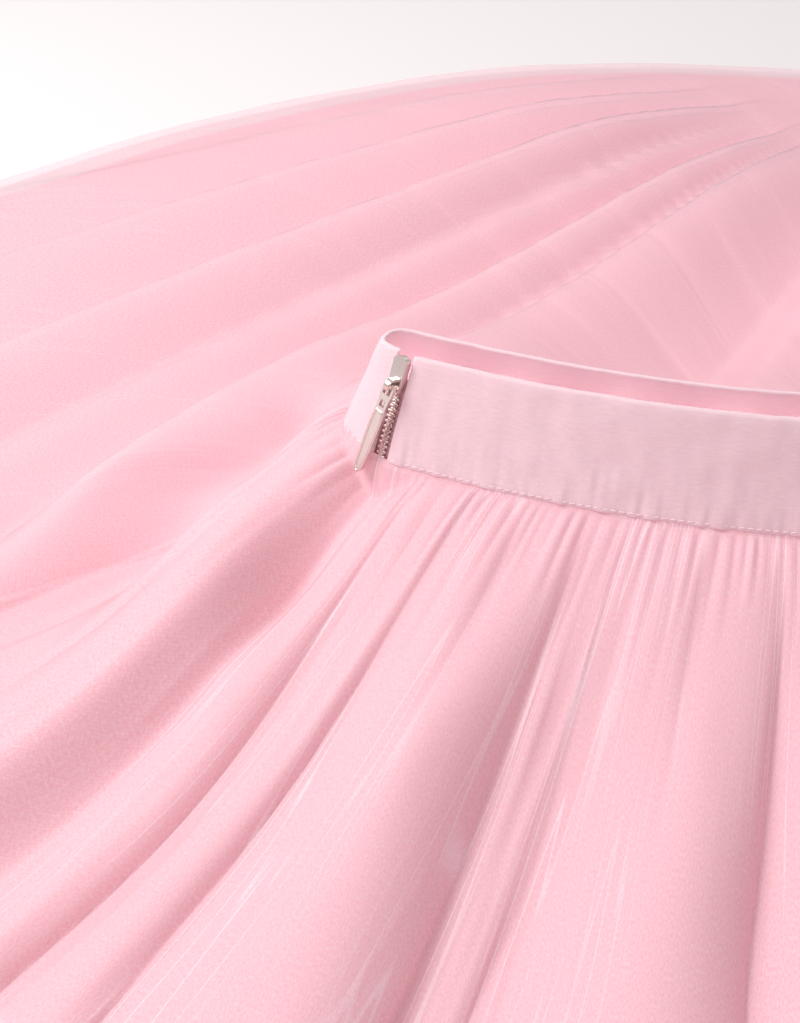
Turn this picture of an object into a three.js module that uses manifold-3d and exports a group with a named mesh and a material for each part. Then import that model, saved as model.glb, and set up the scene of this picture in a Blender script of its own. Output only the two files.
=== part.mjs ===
// A gathered tulle skirt dropped on a flat surface. Its waistband stands flattened in the middle, closed by a
// metal zip at the left side, and the tulle spreads all round it: the front falls straight towards -Y, and
// the back is swept round to the left. Millimetres, +Z up, origin at the middle of the underside.
import * as THREE from "three";
import { mergeVertices } from "three/addons/utils/BufferGeometryUtils.js";
import Module from "manifold-3d";

// Driving dimensions: the waistband is a flattened loop round a gently bent line, its spine
const SPINE_RADIUS = 420;
const SPINE_HALF_ANGLE = THREE.MathUtils.degToRad(20.5);
const BAND_HEIGHT = 40;
const BAND_LEAN = THREE.MathUtils.degToRad(20);
const BAND_WALL = 2;
const BAND_TOP_OFFSET = 8;
const SEAM_HEIGHT = 108;
const ZIP_TURN = THREE.MathUtils.degToRad(20);
const SLIT_WIDTH = 6.6;
const SEAM_GAP = 0.3;
// Behind the zip the left end is drawn out flatter: by how much, and where round the seam it grows and fades
const LEFT_END = { reach: 7, full: 20, fades: 40, gone: 170 };

// The tulle: one thickness of wall stands for its net, and the height that it keeps away from the band
const TULLE_WALL = 2;
const HEM_HEIGHT = 3;
const SPREAD_HEIGHT = 29;
const SLOPE_REACH = 75;
const SLOPE_POWER = 1.5;
const SEAM_DROP = 0.5;

// Where the band's outer face stands off the spine at the seam
const SEAM_OFFSET = BAND_TOP_OFFSET + BAND_HEIGHT * Math.sin(BAND_LEAN);

// Plan guides of each panel: from its share of the seam the cloth runs by the bend to the hem. Its folds are
// even round the hem unless their edges are given as shares of the seam, each with its size. Depth scales
// them, and the broad swept folds come in between the two shares of swept
const PANELS = [
  {
    name: "tulle_front",
    gathers: 40,
    folds: 11,
    edges: [0, 0.058, 0.115, 0.237, 0.275, 0.427, 0.5, 0.58, 0.67, 0.77, 0.88, 1],
    sizes: [0.6, 0.6, 1.1, 0.2, 1.1, 0.8, 0.9, 1, 0.9, 1, 0.9],
    depth: 1,
    swept: { none: 1, full: 2 },
    guides: [
      { share: 0, bendX: -355, bendY: -217, hemX: -550, hemY: -445 },
      { share: 0.25, bendX: -186, bendY: -300, hemX: -290, hemY: -572 },
      { share: 0.5, bendX: 8, bendY: -328, hemX: 15, hemY: -628 },
      { share: 0.72, bendX: 222, bendY: -282, hemX: 368, hemY: -550 },
      { share: 0.9, bendX: 350, bendY: -215, hemX: 570, hemY: -428 },
      { share: 1, bendX: 408, bendY: -140, hemX: 652, hemY: -292 },
    ],
  },
  {
    name: "tulle_back_right",
    gathers: 20,
    folds: 13,
    depth: 0.6,
    swept: { none: 0.1, full: 0.35 },
    guides: [
      { share: 0, bendX: 408, bendY: -140, hemX: 652, hemY: -292 },
      { share: 0.05, bendX: 440, bendY: -40, hemX: 694, hemY: -80 },
      { share: 0.1, bendX: 435, bendY: 70, hemX: 684, hemY: 120 },
      { share: 0.16, bendX: 395, bendY: 190, hemX: 600, hemY: 320 },
      { share: 0.25, bendX: 325, bendY: 320, hemX: 425, hemY: 480 },
      { share: 0.4, bendX: 230, bendY: 430, hemX: 180, hemY: 596 },
      { share: 0.6, bendX: 130, bendY: 470, hemX: -90, hemY: 610 },
      { share: 0.8, bendX: 40, bendY: 450, hemX: -310, hemY: 510 },
      { share: 1, bendX: -30, bendY: 390, hemX: -480, hemY: 360 },
    ],
  },
  {
    name: "tulle_back_left",
    gathers: 20,
    folds: 9,
    depth: 0.5,
    swept: { none: 0.84, full: 0.66 },
    guides: [
      { share: 0, bendX: -30, bendY: 390, hemX: -480, hemY: 360 },
      { share: 0.2, bendX: -83, bendY: 330, hemX: -588, hemY: 200 },
      { share: 0.4, bendX: -125, bendY: 258, hemX: -648, hemY: 40 },
      { share: 0.6, bendX: -185, bendY: 165, hemX: -680, hemY: -100 },
      { share: 0.78, bendX: -262, bendY: 70, hemX: -694, hemY: -215 },
      { share: 0.87, bendX: -400, bendY: -75, hemX: -684, hemY: -305 },
      { share: 0.94, bendX: -395, bendY: -160, hemX: -630, hemY: -382 },
      { share: 1, bendX: -355, bendY: -217, hemX: -550, hemY: -445 },
    ],
  },
];

// Waves in the cloth: how many for each gather or fold, how deep, and where along its length they rise
// and fade
const WAVES = [
  { each: "gathers", depth: 4.5, starts: 0, full: 0.02, fades: 0.08, gone: 0.22 },
  { each: "folds", times: 2, depth: 1.5, starts: 0, full: 0.04, fades: 0.06, gone: 0.2 },
  { each: "folds", times: 1, depth: 14, starts: 0.005, full: 0.18, fades: 1.5, gone: 2 },
];
// How square and how lopsided a fold's section is, and how far the folds wander on their way to the hem
const LOBE = { power: 0.35, skew: 1.8 };
const WANDER = { swing: 0.08, full: 0.3, along: 2.2, turns: 0.37 };
const HEM_SAMPLES = 120;
const FLAT_EDGE_GATHERS = 0.8;
const UNEVEN_SPACING = [
  { swing: 0.016, turns: 1.7, start: 0.8 },
  { swing: 0.007, turns: 4.3, start: 2.5 },
];
const UNEVEN_DEPTH = { mean: 0.7, swing: 0.3, turns: [0.37, 0.23], starts: [1.1, 0.4] };

// Broad billows placed by hand: the middle and half width are shares of the panel's seam, and a higher power
// gives a flatter top
const BILLOW_POWER = 2.5;
const BILLOWS = [
  { panel: "tulle_back_left", share: 0.935, width: 0.075, rise: 18, starts: 0, full: 0.12 },
  { panel: "tulle_back_right", share: 0.3, width: 0.1, rise: 12, starts: 0.1, full: 0.5 },
  { panel: "tulle_front", share: 0.16, width: 0.07, rise: 9, starts: 0, full: 0.15 },
  { panel: "tulle_front", share: 0.58, width: 0.08, rise: 10, starts: 0, full: 0.2 },
];

// Broad folds where the back was swept round: they fan out from a far point, each at its own angle in
// degrees, with a steep side and a gentle one. They rise with the distance from the seam, calm the other
// folds, and die away near that point and towards the hem
const SWEEP = {
  x: 262,
  y: 720,
  starts: 20,
  full: 110,
  near: 250,
  clear: 480,
  fades: 0.7,
  hem: 0.4,
  calm: 0.92,
};
const SWEPT_FOLDS = [
  { angle: 208, steep: 2, gentle: 5, rise: 18 },
  { angle: 215.5, steep: 1.8, gentle: 5, rise: 24 },
  { angle: 222.9, steep: 1.6, gentle: 4, rise: 32 },
  { angle: 227, steep: 1.2, gentle: 2.4, rise: 18 },
  { angle: 231.5, steep: 1.5, gentle: 3.4, rise: 26 },
  { angle: 235.2, steep: 1.6, gentle: 5.5, rise: 25 },
  { angle: 245.3, steep: 1.9, gentle: 6, rise: 19 },
  { angle: 257, steep: 2.5, gentle: 6, rise: 14 },
];

// Rows of a tulle panel from seam to hem: how far along, and the columns there for each gather or fold
const PANEL_ROWS = [
  { along: 0, each: "gathers", times: 4 },
  { along: 0.01, each: "gathers", times: 4 },
  { along: 0.04, each: "gathers", times: 4 },
  { along: 0.08, each: "gathers", times: 4 },
  { along: 0.15, each: "folds", times: 7 },
  { along: 0.26, each: "folds", times: 7 },
  { along: 0.4, each: "folds", times: 7 },
  { along: 0.56, each: "folds", times: 7 },
  { along: 0.72, each: "folds", times: 7 },
  { along: 0.87, each: "folds", times: 7 },
  { along: 1, each: "folds", times: 7 },
];

// The under layers fill the heap: steps at their hems, then rows towards the waist
const UNDER_HEMS = [
  { along: 0.96, height: 1.2 },
  { along: 0.935, height: 2.4 },
  { along: 0.91, height: 3.6 },
];
const UNDER_ROWS = [0.88, 0.7, 0.5, 0.34, 0.22, 0.13, 0.06, 0];
const UNDER_COLUMNS = 80;
const UNDER_DROP = { waist: 13, hem: 4 };

// The zip, in millimetres: the tapes, the closed chain, the slider and its pull
const TAPE = { width: 7.5, wall: 0.8, reach: 30, below: 7 };
const CHAIN = { width: 3.6, wall: 1.3, out: -0.7, clear: 1 };
const SLIDER = {
  width: 5.6,
  foot: 4.4,
  waist: 0.45,
  length: 13,
  back: -0.9,
  face: 2,
  top: 39.4,
  crown: 1,
  bulge: 0.8,
};
const HOOP = { inner: 1.5, outer: 2.4, width: 2, sunk: 0.4, above: 0.1 };
const PULL = {
  length: 36,
  head: 5,
  neck: 4.2,
  belly: 5.6,
  tip: 2.6,
  wall: 1.5,
  crossbar: 0.9,
  tilt: THREE.MathUtils.degToRad(1.5),
  lean: THREE.MathUtils.degToRad(9),
  corner: 0.6,
  shoulder: 4,
  neckFrom: 7,
  neckTo: 9.5,
  bellyFrom: 13,
  bellyTo: 18,
  tipFrom: 2.4,
  window: { width: 3.2, from: 0.6, to: 3.6 },
  eye: { width: 2.2, from: 6, to: 8.6 },
};

// Columns of points along the straight walls, and the halvings that place the slit's edges
const COLUMNS = { front: 36, back: 64, tape: 6 };
const HALVINGS = 30;

const COLOURS = { band: "#f3c9d4", tulle: "#f7c3cf", under: "#efb1be", tape: "#f0bcc8", metal: "#d9cfca" };

const wasm = await Module();
wasm.setup();

// Number helpers
function ramp(value, from, to) {
  return THREE.MathUtils.smoothstep(value, from, to);
}

function evenShares(count, from, to) {
  return Array.from({ length: count + 1 }, (_, k) => from + ((to - from) * k) / count);
}

// A cubic through a table's column, with each row's slope taken from its neighbours
function smooth(rows, column, share) {
  const last = rows.length - 2;
  const at = Math.min(last, Math.max(0, rows.findIndex((row) => row.share > share) - 1));
  const i = share >= rows[rows.length - 1].share ? last : at;
  const slope = (k) => {
    const before = rows[Math.max(0, k - 1)];
    const after = rows[Math.min(rows.length - 1, k + 1)];
    return (after[column] - before[column]) / (after.share - before.share);
  };
  const span = rows[i + 1].share - rows[i].share;
  const t = (share - rows[i].share) / span;
  const t2 = t * t;
  const t3 = t2 * t;
  return (
    (2 * t3 - 3 * t2 + 1) * rows[i][column] +
    (t3 - 2 * t2 + t) * span * slope(i) +
    (3 * t2 - 2 * t3) * rows[i + 1][column] +
    (t3 - t2) * span * slope(i + 1)
  );
}

// The waist loop, followed anticlockwise from the zip: each stretch is an arc or a rounded end
function spinePoint(angle) {
  return new THREE.Vector2(SPINE_RADIUS * Math.sin(angle), SPINE_RADIUS * (1 - Math.cos(angle)));
}

function endStretch(angle, from, to) {
  return {
    length: (to - from) * SEAM_OFFSET,
    at: (share) => ({ centre: spinePoint(angle), heading: from + (to - from) * share }),
  };
}

function arcStretch(from, to, base) {
  const side = to > from ? 1 : -1;
  return {
    length: Math.abs(to - from) * (SPINE_RADIUS + side * SEAM_OFFSET),
    at: (share) => {
      const angle = from + (to - from) * share;
      return { centre: spinePoint(angle), heading: base + angle };
    },
  };
}

const FRONT = 1.5 * Math.PI;
const BACK = 2.5 * Math.PI;
const ZIP_HEADING = FRONT - SPINE_HALF_ANGLE - ZIP_TURN;
const STRETCHES = [
  endStretch(-SPINE_HALF_ANGLE, ZIP_HEADING, ZIP_HEADING + ZIP_TURN),
  arcStretch(-SPINE_HALF_ANGLE, SPINE_HALF_ANGLE, FRONT),
  endStretch(SPINE_HALF_ANGLE, FRONT + SPINE_HALF_ANGLE, BACK + SPINE_HALF_ANGLE),
  arcStretch(SPINE_HALF_ANGLE, -SPINE_HALF_ANGLE, BACK),
  endStretch(-SPINE_HALF_ANGLE, BACK - SPINE_HALF_ANGLE, ZIP_HEADING + 2 * Math.PI),
];
const WAIST_LENGTH = STRETCHES.reduce((sum, stretch) => sum + stretch.length, 0);
const FRONT_LENGTH = 2 * STRETCHES[0].length + STRETCHES[1].length;
const BACK_PANEL_LENGTH = (WAIST_LENGTH - FRONT_LENGTH) / 2;
const PANEL_STARTS = {
  tulle_front: { from: 0, length: FRONT_LENGTH },
  tulle_back_right: { from: FRONT_LENGTH, length: BACK_PANEL_LENGTH },
  tulle_back_left: { from: FRONT_LENGTH + BACK_PANEL_LENGTH, length: BACK_PANEL_LENGTH },
};

// The point of the loop so many millimetres round the seam, standing that far off the spine
const LEFT_ANGLE = SPINE_HALF_ANGLE + LEFT_END.reach / SPINE_RADIUS;
const LEFT_SHIFT = spinePoint(-LEFT_ANGLE).sub(spinePoint(-SPINE_HALF_ANGLE));

function waistPoint(along, offset) {
  let left = THREE.MathUtils.euclideanModulo(along, WAIST_LENGTH);
  const behindZip = WAIST_LENGTH - left;
  const drawnOut = ramp(behindZip, 0, LEFT_END.full) * (1 - ramp(behindZip, LEFT_END.fades, LEFT_END.gone));
  const stretch = STRETCHES.find((each) => {
    const here = left <= each.length;
    if (!here) left -= each.length;
    return here;
  });
  const { centre, heading } = stretch.at(left / stretch.length);
  const out = new THREE.Vector2(Math.cos(heading), Math.sin(heading));
  return centre.clone().addScaledVector(out, offset).addScaledVector(LEFT_SHIFT, drawnOut);
}

// How far a plan point lies outside the seam
function outsideSeam(plan) {
  const bend = Math.atan2(plan.x, SPINE_RADIUS - plan.y);
  const fromCentre = Math.hypot(plan.x, SPINE_RADIUS - plan.y);
  const angle = THREE.MathUtils.clamp(bend, -LEFT_ANGLE, SPINE_HALF_ANGLE);
  const away = angle === bend ? Math.abs(fromCentre - SPINE_RADIUS) : plan.distanceTo(spinePoint(angle));
  return Math.max(0, away - SEAM_OFFSET);
}

// Valleys in the cloth, one below the zip and one behind the lobe beside it: where each starts, which way it
// runs, its depth and half width, how it widens, where it fades, and how soon after the seam it is full
const VALLEYS = [
  {
    start: waistPoint(0, SEAM_OFFSET),
    heading: ZIP_HEADING,
    depth: 14,
    reach: 12,
    spread: 0,
    fades: 35,
    length: 80,
    full: 0.006,
  },
  {
    start: new THREE.Vector2(-196, 72),
    heading: THREE.MathUtils.degToRad(228),
    depth: 21,
    reach: 20,
    spread: 0.08,
    fades: 0,
    length: 330,
    full: 0.06,
  },
];

// How deep a plan point lies in the valleys
function valleyDepth(plan, along) {
  return VALLEYS.reduce((sum, { start, heading, depth, reach, spread, fades, length, full }) => {
    const out = new THREE.Vector2(Math.cos(heading), Math.sin(heading));
    const away = plan.clone().sub(start);
    const reached = away.dot(out);
    const run = THREE.MathUtils.clamp(reached, 0, length);
    const beside = away.addScaledVector(out, -run).length();
    const section = Math.exp(-((beside / (reach + spread * run)) ** 2)) * (1 - ramp(reached, fades, length));
    return sum + depth * section * ramp(along, 0, full);
  }, 0);
}

// The plain height of the spread cloth: a steep slope under the band, then a long shallow one to the hem
function plainHeight(plan, along) {
  const peak = SEAM_HEIGHT - SEAM_DROP - SPREAD_HEIGHT - HEM_HEIGHT;
  const slope = peak * Math.exp(-((outsideSeam(plan) / SLOPE_REACH) ** SLOPE_POWER));
  const spread = SPREAD_HEIGHT * (1 - along * along);
  return HEM_HEIGHT + slope + spread - valleyDepth(plan, along);
}

// The plan point of a panel, at a share of its seam and so far along to the hem
function panelPlan(panel, share, along) {
  const start = PANEL_STARTS[panel.name];
  const seam = waistPoint(start.from + share * start.length, SEAM_OFFSET);
  const point = (x, y) => new THREE.Vector2(smooth(panel.guides, x, share), smooth(panel.guides, y, share));
  const path = new THREE.QuadraticBezierCurve(seam, point("bendX", "bendY"), point("hemX", "hemY"));
  return path.getPoint(along);
}

// Uneven spacing and depth of the waves, the same on every run
function unevenShare(share) {
  const shift = ({ swing, turns, start }) =>
    swing * (Math.sin(2 * Math.PI * turns * share + start) - Math.sin(start));
  return UNEVEN_SPACING.reduce((sum, each) => sum + shift(each), share);
}

function unevenDepth(turn) {
  const { mean, swing, turns, starts } = UNEVEN_DEPTH;
  const [slow, slower] = turns.map((each, k) => Math.sin(2 * Math.PI * each * turn + starts[k]));
  return mean + swing * slow * slower;
}

// Which fold each share of the seam belongs to: from the given edges, or evenly between the seam and the hem
function foldTable(panel) {
  if (panel.edges) return panel.edges.map((share, fold) => ({ share, fold }));
  const shares = evenShares(HEM_SAMPLES, 0, 1);
  const points = shares.map((share) => panelPlan(panel, share, 1));
  const lengths = points.map((point, k) => (k ? point.distanceTo(points[k - 1]) : 0));
  let sum = 0;
  const reached = lengths.map((length) => (sum += length));
  const spread = (k) => unevenShare((shares[k] + reached[k] / sum) / 2);
  return shares.map((share, k) => ({ share, fold: (panel.folds * spread(k)) / spread(HEM_SAMPLES) }));
}

function lookUp(table, from, to, value) {
  const k = Math.max(1, table.findIndex((row) => row[from] >= value));
  const before = table[k - 1];
  const after = table[k];
  return before[to] + ((after[to] - before[to]) * (value - before[from])) / (after[from] - before[from]);
}

for (const panel of PANELS) panel.table = foldTable(panel);

// How far the swept folds stand up at a plan point
function sweptHeight(plan, along) {
  const angle = THREE.MathUtils.radToDeg(Math.atan2(plan.y - SWEEP.y, plan.x - SWEEP.x)) + 360;
  const ridge = ({ angle: crest, steep, gentle, rise }) =>
    rise * Math.exp(-(((angle - crest) / (angle < crest ? steep : gentle)) ** 2));
  const height = Math.max(...SWEPT_FOLDS.map(ridge));
  const away = Math.hypot(plan.x - SWEEP.x, plan.y - SWEEP.y);
  const here = ramp(outsideSeam(plan), SWEEP.starts, SWEEP.full) * ramp(away, SWEEP.near, SWEEP.clear);
  return height * here * THREE.MathUtils.lerp(1, SWEEP.hem, ramp(along, SWEEP.fades, 1));
}

// How large each fold is beside the others: from the given sizes, or uneven along the panel
function foldSize(panel, turn) {
  const fold = THREE.MathUtils.clamp(Math.floor(turn), 0, panel.folds - 1);
  return panel.sizes ? panel.sizes[fold] : unevenDepth(turn);
}

// A fold's section: a wide top, steeper on one side, between narrow valleys at each whole turn
function lobe(turn) {
  const across = (turn - Math.floor(turn)) ** LOBE.skew;
  return (0.5 - 0.5 * Math.cos(2 * Math.PI * across)) ** LOBE.power;
}

// How far the cloth stands above its plain height
function foldHeight(panel, share, along, plan) {
  const flatEdge = FLAT_EDGE_GATHERS / panel.gathers;
  const edge = ramp(share, 0, flatEdge) * ramp(1 - share, 0, flatEdge);
  const straight = lookUp(panel.table, "share", "fold", share);
  const wander = Math.sin(2 * Math.PI * (WANDER.along * along + WANDER.turns * straight));
  const folds = straight + WANDER.swing * ramp(along, 0, WANDER.full) * wander;
  const gathers = panel.gathers * unevenShare(share);
  let height = 0;
  for (const wave of WAVES) {
    const here = ramp(along, wave.starts, wave.full) * (1 - ramp(along, wave.fades, wave.gone));
    const gathered = wave.each === "gathers";
    const size = gathered ? unevenDepth(gathers) : panel.depth * foldSize(panel, folds);
    const section = gathered ? 0.5 - 0.5 * Math.cos(2 * Math.PI * gathers) : lobe(folds * wave.times);
    height += wave.depth * size * section * here;
  }
  for (const billow of BILLOWS.filter((each) => each.panel === panel.name)) {
    const away = Math.abs(share - billow.share) / billow.width;
    height += billow.rise * Math.exp(-(away ** BILLOW_POWER)) * ramp(along, billow.starts, billow.full);
  }
  const { none, full } = panel.swept;
  const swept = full > none ? ramp(share, none, full) : 1 - ramp(share, full, none);
  return edge * height * (1 - SWEEP.calm * swept) + swept * sweptHeight(plan, along);
}

// A closed mesh put together from rows of points
class Skin {
  constructor() {
    this.points = [];
    this.faces = [];
  }

  // A row of points; shares say how far along the row each one lies
  row(points, shares = evenShares(points.length - 1, 0, 1)) {
    return points.map((point, k) => ({ index: this.points.push(point) - 1, share: shares[k] }));
  }

  face(a, b, c) {
    this.faces.push(a.index, b.index, c.index);
  }

  // Joins two rows that run the same way but may have different counts and spacings
  join(low, high) {
    let i = 0;
    let j = 0;
    while (i < low.length - 1 || j < high.length - 1) {
      const lowNext = j === high.length - 1 || (i < low.length - 1 && low[i + 1].share <= high[j + 1].share);
      if (lowNext) {
        this.face(low[i], low[i + 1], high[j]);
        i += 1;
      } else {
        this.face(low[i], high[j + 1], high[j]);
        j += 1;
      }
    }
  }

  // Joins the ends of two pairs of rows with a flat quad
  quad(a, b, c, d) {
    this.face(a, b, c);
    this.face(b, d, c);
  }

  // Joins two closed rings of equal counts
  loop(low, high) {
    low.forEach((point, k) => {
      const next = (k + 1) % low.length;
      this.quad(point, low[next], high[k], high[next]);
    });
  }

  // Closes a ring that runs anticlockwise with a flat cap, facing up or down
  cap(ring, up) {
    const outline = ring.map(({ index }) => new THREE.Vector2(this.points[index].x, this.points[index].y));
    for (const [a, b, c] of THREE.ShapeUtils.triangulateShape(outline, [])) {
      if (up) this.face(ring[a], ring[b], ring[c]);
      else this.face(ring[a], ring[c], ring[b]);
    }
  }

  geometry() {
    const made = new THREE.BufferGeometry().setFromPoints(this.points);
    return made.setIndex(this.faces);
  }
}

// A wall of cloth from its outer rows and its inner rows, closed along all four edges
function wallGeometry(outer, inner, shares = []) {
  const skin = new Skin();
  const out = outer.map((row, k) => skin.row(row, shares[k]));
  const back = inner.map((row, k) => skin.row(row, shares[k]));
  const last = out.length - 1;
  for (let k = 0; k < last; k += 1) {
    skin.join(out[k + 1], out[k]);
    skin.join(back[k], back[k + 1]);
    skin.quad(back[k][0], back[k + 1][0], out[k][0], out[k + 1][0]);
    skin.quad(out[k].at(-1), out[k + 1].at(-1), back[k].at(-1), back[k + 1].at(-1));
  }
  skin.join(out[0], back[0]);
  skin.join(back[last], out[last]);
  return skin.geometry();
}

// A gathered tulle panel
function panelGeometry(panel) {
  const edge = SEAM_GAP / 2 / PANEL_STARTS[panel.name].length;
  const outer = [];
  const inner = [];
  const rowShares = [];
  for (const { along, each, times } of PANEL_ROWS) {
    const count = panel[each] * times;
    const shares =
      each === "folds"
        ? evenShares(count, 0, panel.folds).map((fold) => lookUp(panel.table, "fold", "share", fold))
        : evenShares(count, 0, 1);
    shares[0] = edge;
    shares[shares.length - 1] = 1 - edge;
    const top = [];
    const bottom = [];
    for (const share of shares) {
      const plan = panelPlan(panel, share, along);
      const height = plainHeight(plan, along) + foldHeight(panel, share, along, plan);
      top.push(new THREE.Vector3(plan.x, plan.y, height));
      bottom.push(new THREE.Vector3(plan.x, plan.y, height - TULLE_WALL));
    }
    outer.push(top);
    inner.push(bottom);
    rowShares.push(shares);
  }
  return wallGeometry(outer, inner, rowShares);
}

// The hidden under layers: one rounded solid with stepped hems and a flat underside
function underGeometry() {
  const skin = new Skin();
  const places = evenShares(UNDER_COLUMNS, 0, 1).slice(0, -1);
  const planRing = (along) =>
    places.map((place) => {
      const round = place * WAIST_LENGTH;
      const panel = PANELS.findLast((each) => round >= PANEL_STARTS[each.name].from);
      const start = PANEL_STARTS[panel.name];
      return panelPlan(panel, (round - start.from) / start.length, along);
    });
  const raise = (plans, height) =>
    skin.row(plans.map((plan) => new THREE.Vector3(plan.x, plan.y, height(plan))));
  const rings = [];
  let below = 0;
  for (const { along, height } of UNDER_HEMS) {
    const plans = planRing(along);
    for (const level of [below, height]) rings.push(raise(plans, () => level));
    below = height;
  }
  for (const along of UNDER_ROWS) {
    const drop = THREE.MathUtils.lerp(UNDER_DROP.waist, UNDER_DROP.hem, along);
    rings.push(raise(planRing(along), (plan) => plainHeight(plan, along) - drop));
  }
  for (let k = 0; k < rings.length - 1; k += 1) skin.loop(rings[k], rings[k + 1]);
  skin.cap(rings[0], false);
  skin.cap(rings.at(-1), true);
  return skin.geometry();
}

// A point of the waistband's wall, so far up it and so deep behind its outer face
function bandOffset(up, depth) {
  return SEAM_OFFSET - up * Math.sin(BAND_LEAN) - depth / Math.cos(BAND_LEAN);
}

function bandPoint(along, up, depth) {
  const plan = waistPoint(along, bandOffset(up, depth));
  return new THREE.Vector3(plan.x, plan.y, SEAM_HEIGHT + up * Math.cos(BAND_LEAN));
}

// How far round the seam a wall comes to stand so far to the side of the zip's middle, found by halving
function besideZip(distance, offset) {
  const middle = waistPoint(0, 0);
  const side = new THREE.Vector2(-Math.sin(ZIP_HEADING), Math.cos(ZIP_HEADING));
  let near = 0;
  let far = Math.sign(distance) * SEAM_OFFSET;
  for (let step = 0; step < HALVINGS; step += 1) {
    const along = (near + far) / 2;
    const away = waistPoint(along, offset).sub(middle).dot(side);
    if (Math.abs(away) < Math.abs(distance)) near = along;
    else far = along;
  }
  return near;
}

// A stretch of wall between two heights and two depths; its ends may depend on where it stands
function bandGeometry({ from, to, columns, low, high, outer, inner }) {
  const ring = (up, depth) => {
    const offset = bandOffset(up, depth);
    return evenShares(columns, from(offset), to(offset)).map((along) => bandPoint(along, up, depth));
  };
  return wallGeometry([ring(high, outer), ring(low, outer)], [ring(high, inner), ring(low, inner)]);
}

// Zip hardware, in the zip's own axes: X along the waist, Y up the band, Z out of it
function closedSolid(geometry) {
  const bare = geometry.clone();
  bare.deleteAttribute("normal");
  bare.deleteAttribute("uv");
  const merged = mergeVertices(bare, 1e-4);
  return new wasm.Manifold(
    new wasm.Mesh({
      numProp: 3,
      vertProperties: merged.attributes.position.array,
      triVerts: new Uint32Array(merged.index.array),
    }),
  );
}

function geometryOf(solid) {
  const { vertProperties, triVerts } = solid.getMesh();
  const made = new THREE.BufferGeometry();
  made.setAttribute("position", new THREE.BufferAttribute(vertProperties, 3));
  return made.setIndex(new THREE.BufferAttribute(triVerts, 1));
}

function extruded(shape, depth) {
  return new THREE.ExtrudeGeometry(shape, { depth, bevelEnabled: false, curveSegments: 6 });
}

const HINGE = { up: SLIDER.top - SLIDER.length + HOOP.outer + HOOP.above, out: SLIDER.face + HOOP.inner };

// The slider: a tapered body over the chain, with a round hoop standing on its face for the pull
function sliderGeometry() {
  const half = SLIDER.width / 2;
  const foot = SLIDER.foot / 2;
  const low = SLIDER.top - SLIDER.length;
  const waist = low + SLIDER.waist * SLIDER.length;
  const shoulder = SLIDER.top - SLIDER.crown;
  const body = new THREE.Shape();
  body.moveTo(-foot, low);
  body.quadraticCurveTo(0, low - SLIDER.bulge, foot, low);
  body.lineTo(half, waist);
  body.lineTo(half, shoulder);
  body.quadraticCurveTo(0, SLIDER.top + SLIDER.bulge, -half, shoulder);
  body.lineTo(-half, waist);
  const bodySolid = closedSolid(extruded(body, SLIDER.face - SLIDER.back).translate(0, 0, SLIDER.back));

  const hoop = new THREE.Shape();
  const sunk = -HOOP.inner - HOOP.sunk;
  hoop.moveTo(HOOP.outer, sunk);
  hoop.lineTo(HOOP.outer, 0);
  hoop.absarc(0, 0, HOOP.outer, 0, Math.PI, false);
  hoop.lineTo(-HOOP.outer, sunk);
  hoop.lineTo(-HOOP.inner, sunk);
  hoop.lineTo(-HOOP.inner, 0);
  hoop.absarc(0, 0, HOOP.inner, Math.PI, 0, true);
  hoop.lineTo(HOOP.inner, sunk);
  const upright = new THREE.Matrix4().makeBasis(
    new THREE.Vector3(0, 1, 0),
    new THREE.Vector3(0, 0, 1),
    new THREE.Vector3(1, 0, 0),
  );
  const hoopGeometry = extruded(hoop, HOOP.width).translate(0, 0, -HOOP.width / 2).applyMatrix4(upright);
  hoopGeometry.translate(0, HINGE.up, HINGE.out);
  return geometryOf(bodySolid.add(closedSolid(hoopGeometry)));
}

// The pull: a flat drop with a window round the hoop and a small eye below it, hung from its crossbar
function pullGeometry() {
  const { length, crossbar, wall, corner, shoulder, neckFrom, neckTo, bellyFrom, bellyTo, tipFrom } = PULL;
  const [head, neck, belly, tip] = [PULL.head / 2, PULL.neck / 2, PULL.belly / 2, PULL.tip / 2];
  const drop = new THREE.Shape();
  drop.moveTo(-head + corner, crossbar);
  drop.lineTo(head - corner, crossbar);
  drop.quadraticCurveTo(head, crossbar, head, 0);
  drop.lineTo(head, -shoulder);
  drop.quadraticCurveTo(neck, -neckFrom, neck, -neckTo);
  drop.bezierCurveTo(belly, -bellyFrom, belly, -bellyTo, tip + corner, tipFrom - length);
  drop.quadraticCurveTo(tip, -length, 0, -length);
  drop.quadraticCurveTo(-tip, -length, -tip - corner, tipFrom - length);
  drop.bezierCurveTo(-belly, -bellyTo, -belly, -bellyFrom, -neck, -neckTo);
  drop.quadraticCurveTo(-neck, -neckFrom, -head, -shoulder);
  drop.lineTo(-head, 0);
  drop.quadraticCurveTo(-head, crossbar, -head + corner, crossbar);
  for (const { width, from, to } of [PULL.window, PULL.eye]) {
    const hole = new THREE.Path();
    hole.moveTo(-width / 2, -from);
    hole.lineTo(-width / 2, -to);
    hole.lineTo(width / 2, -to);
    hole.lineTo(width / 2, -from);
    drop.holes.push(hole);
  }
  return extruded(drop, wall).translate(0, 0, -wall / 2);
}

// Assembly
const skirt = new THREE.Group();

function place(parent, name, geometry, colour, roughness, metalness = 0) {
  const material = new THREE.MeshStandardMaterial({ color: colour, roughness, metalness });
  const mesh = new THREE.Mesh(geometry, material);
  mesh.name = name;
  parent.add(mesh);
}

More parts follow.
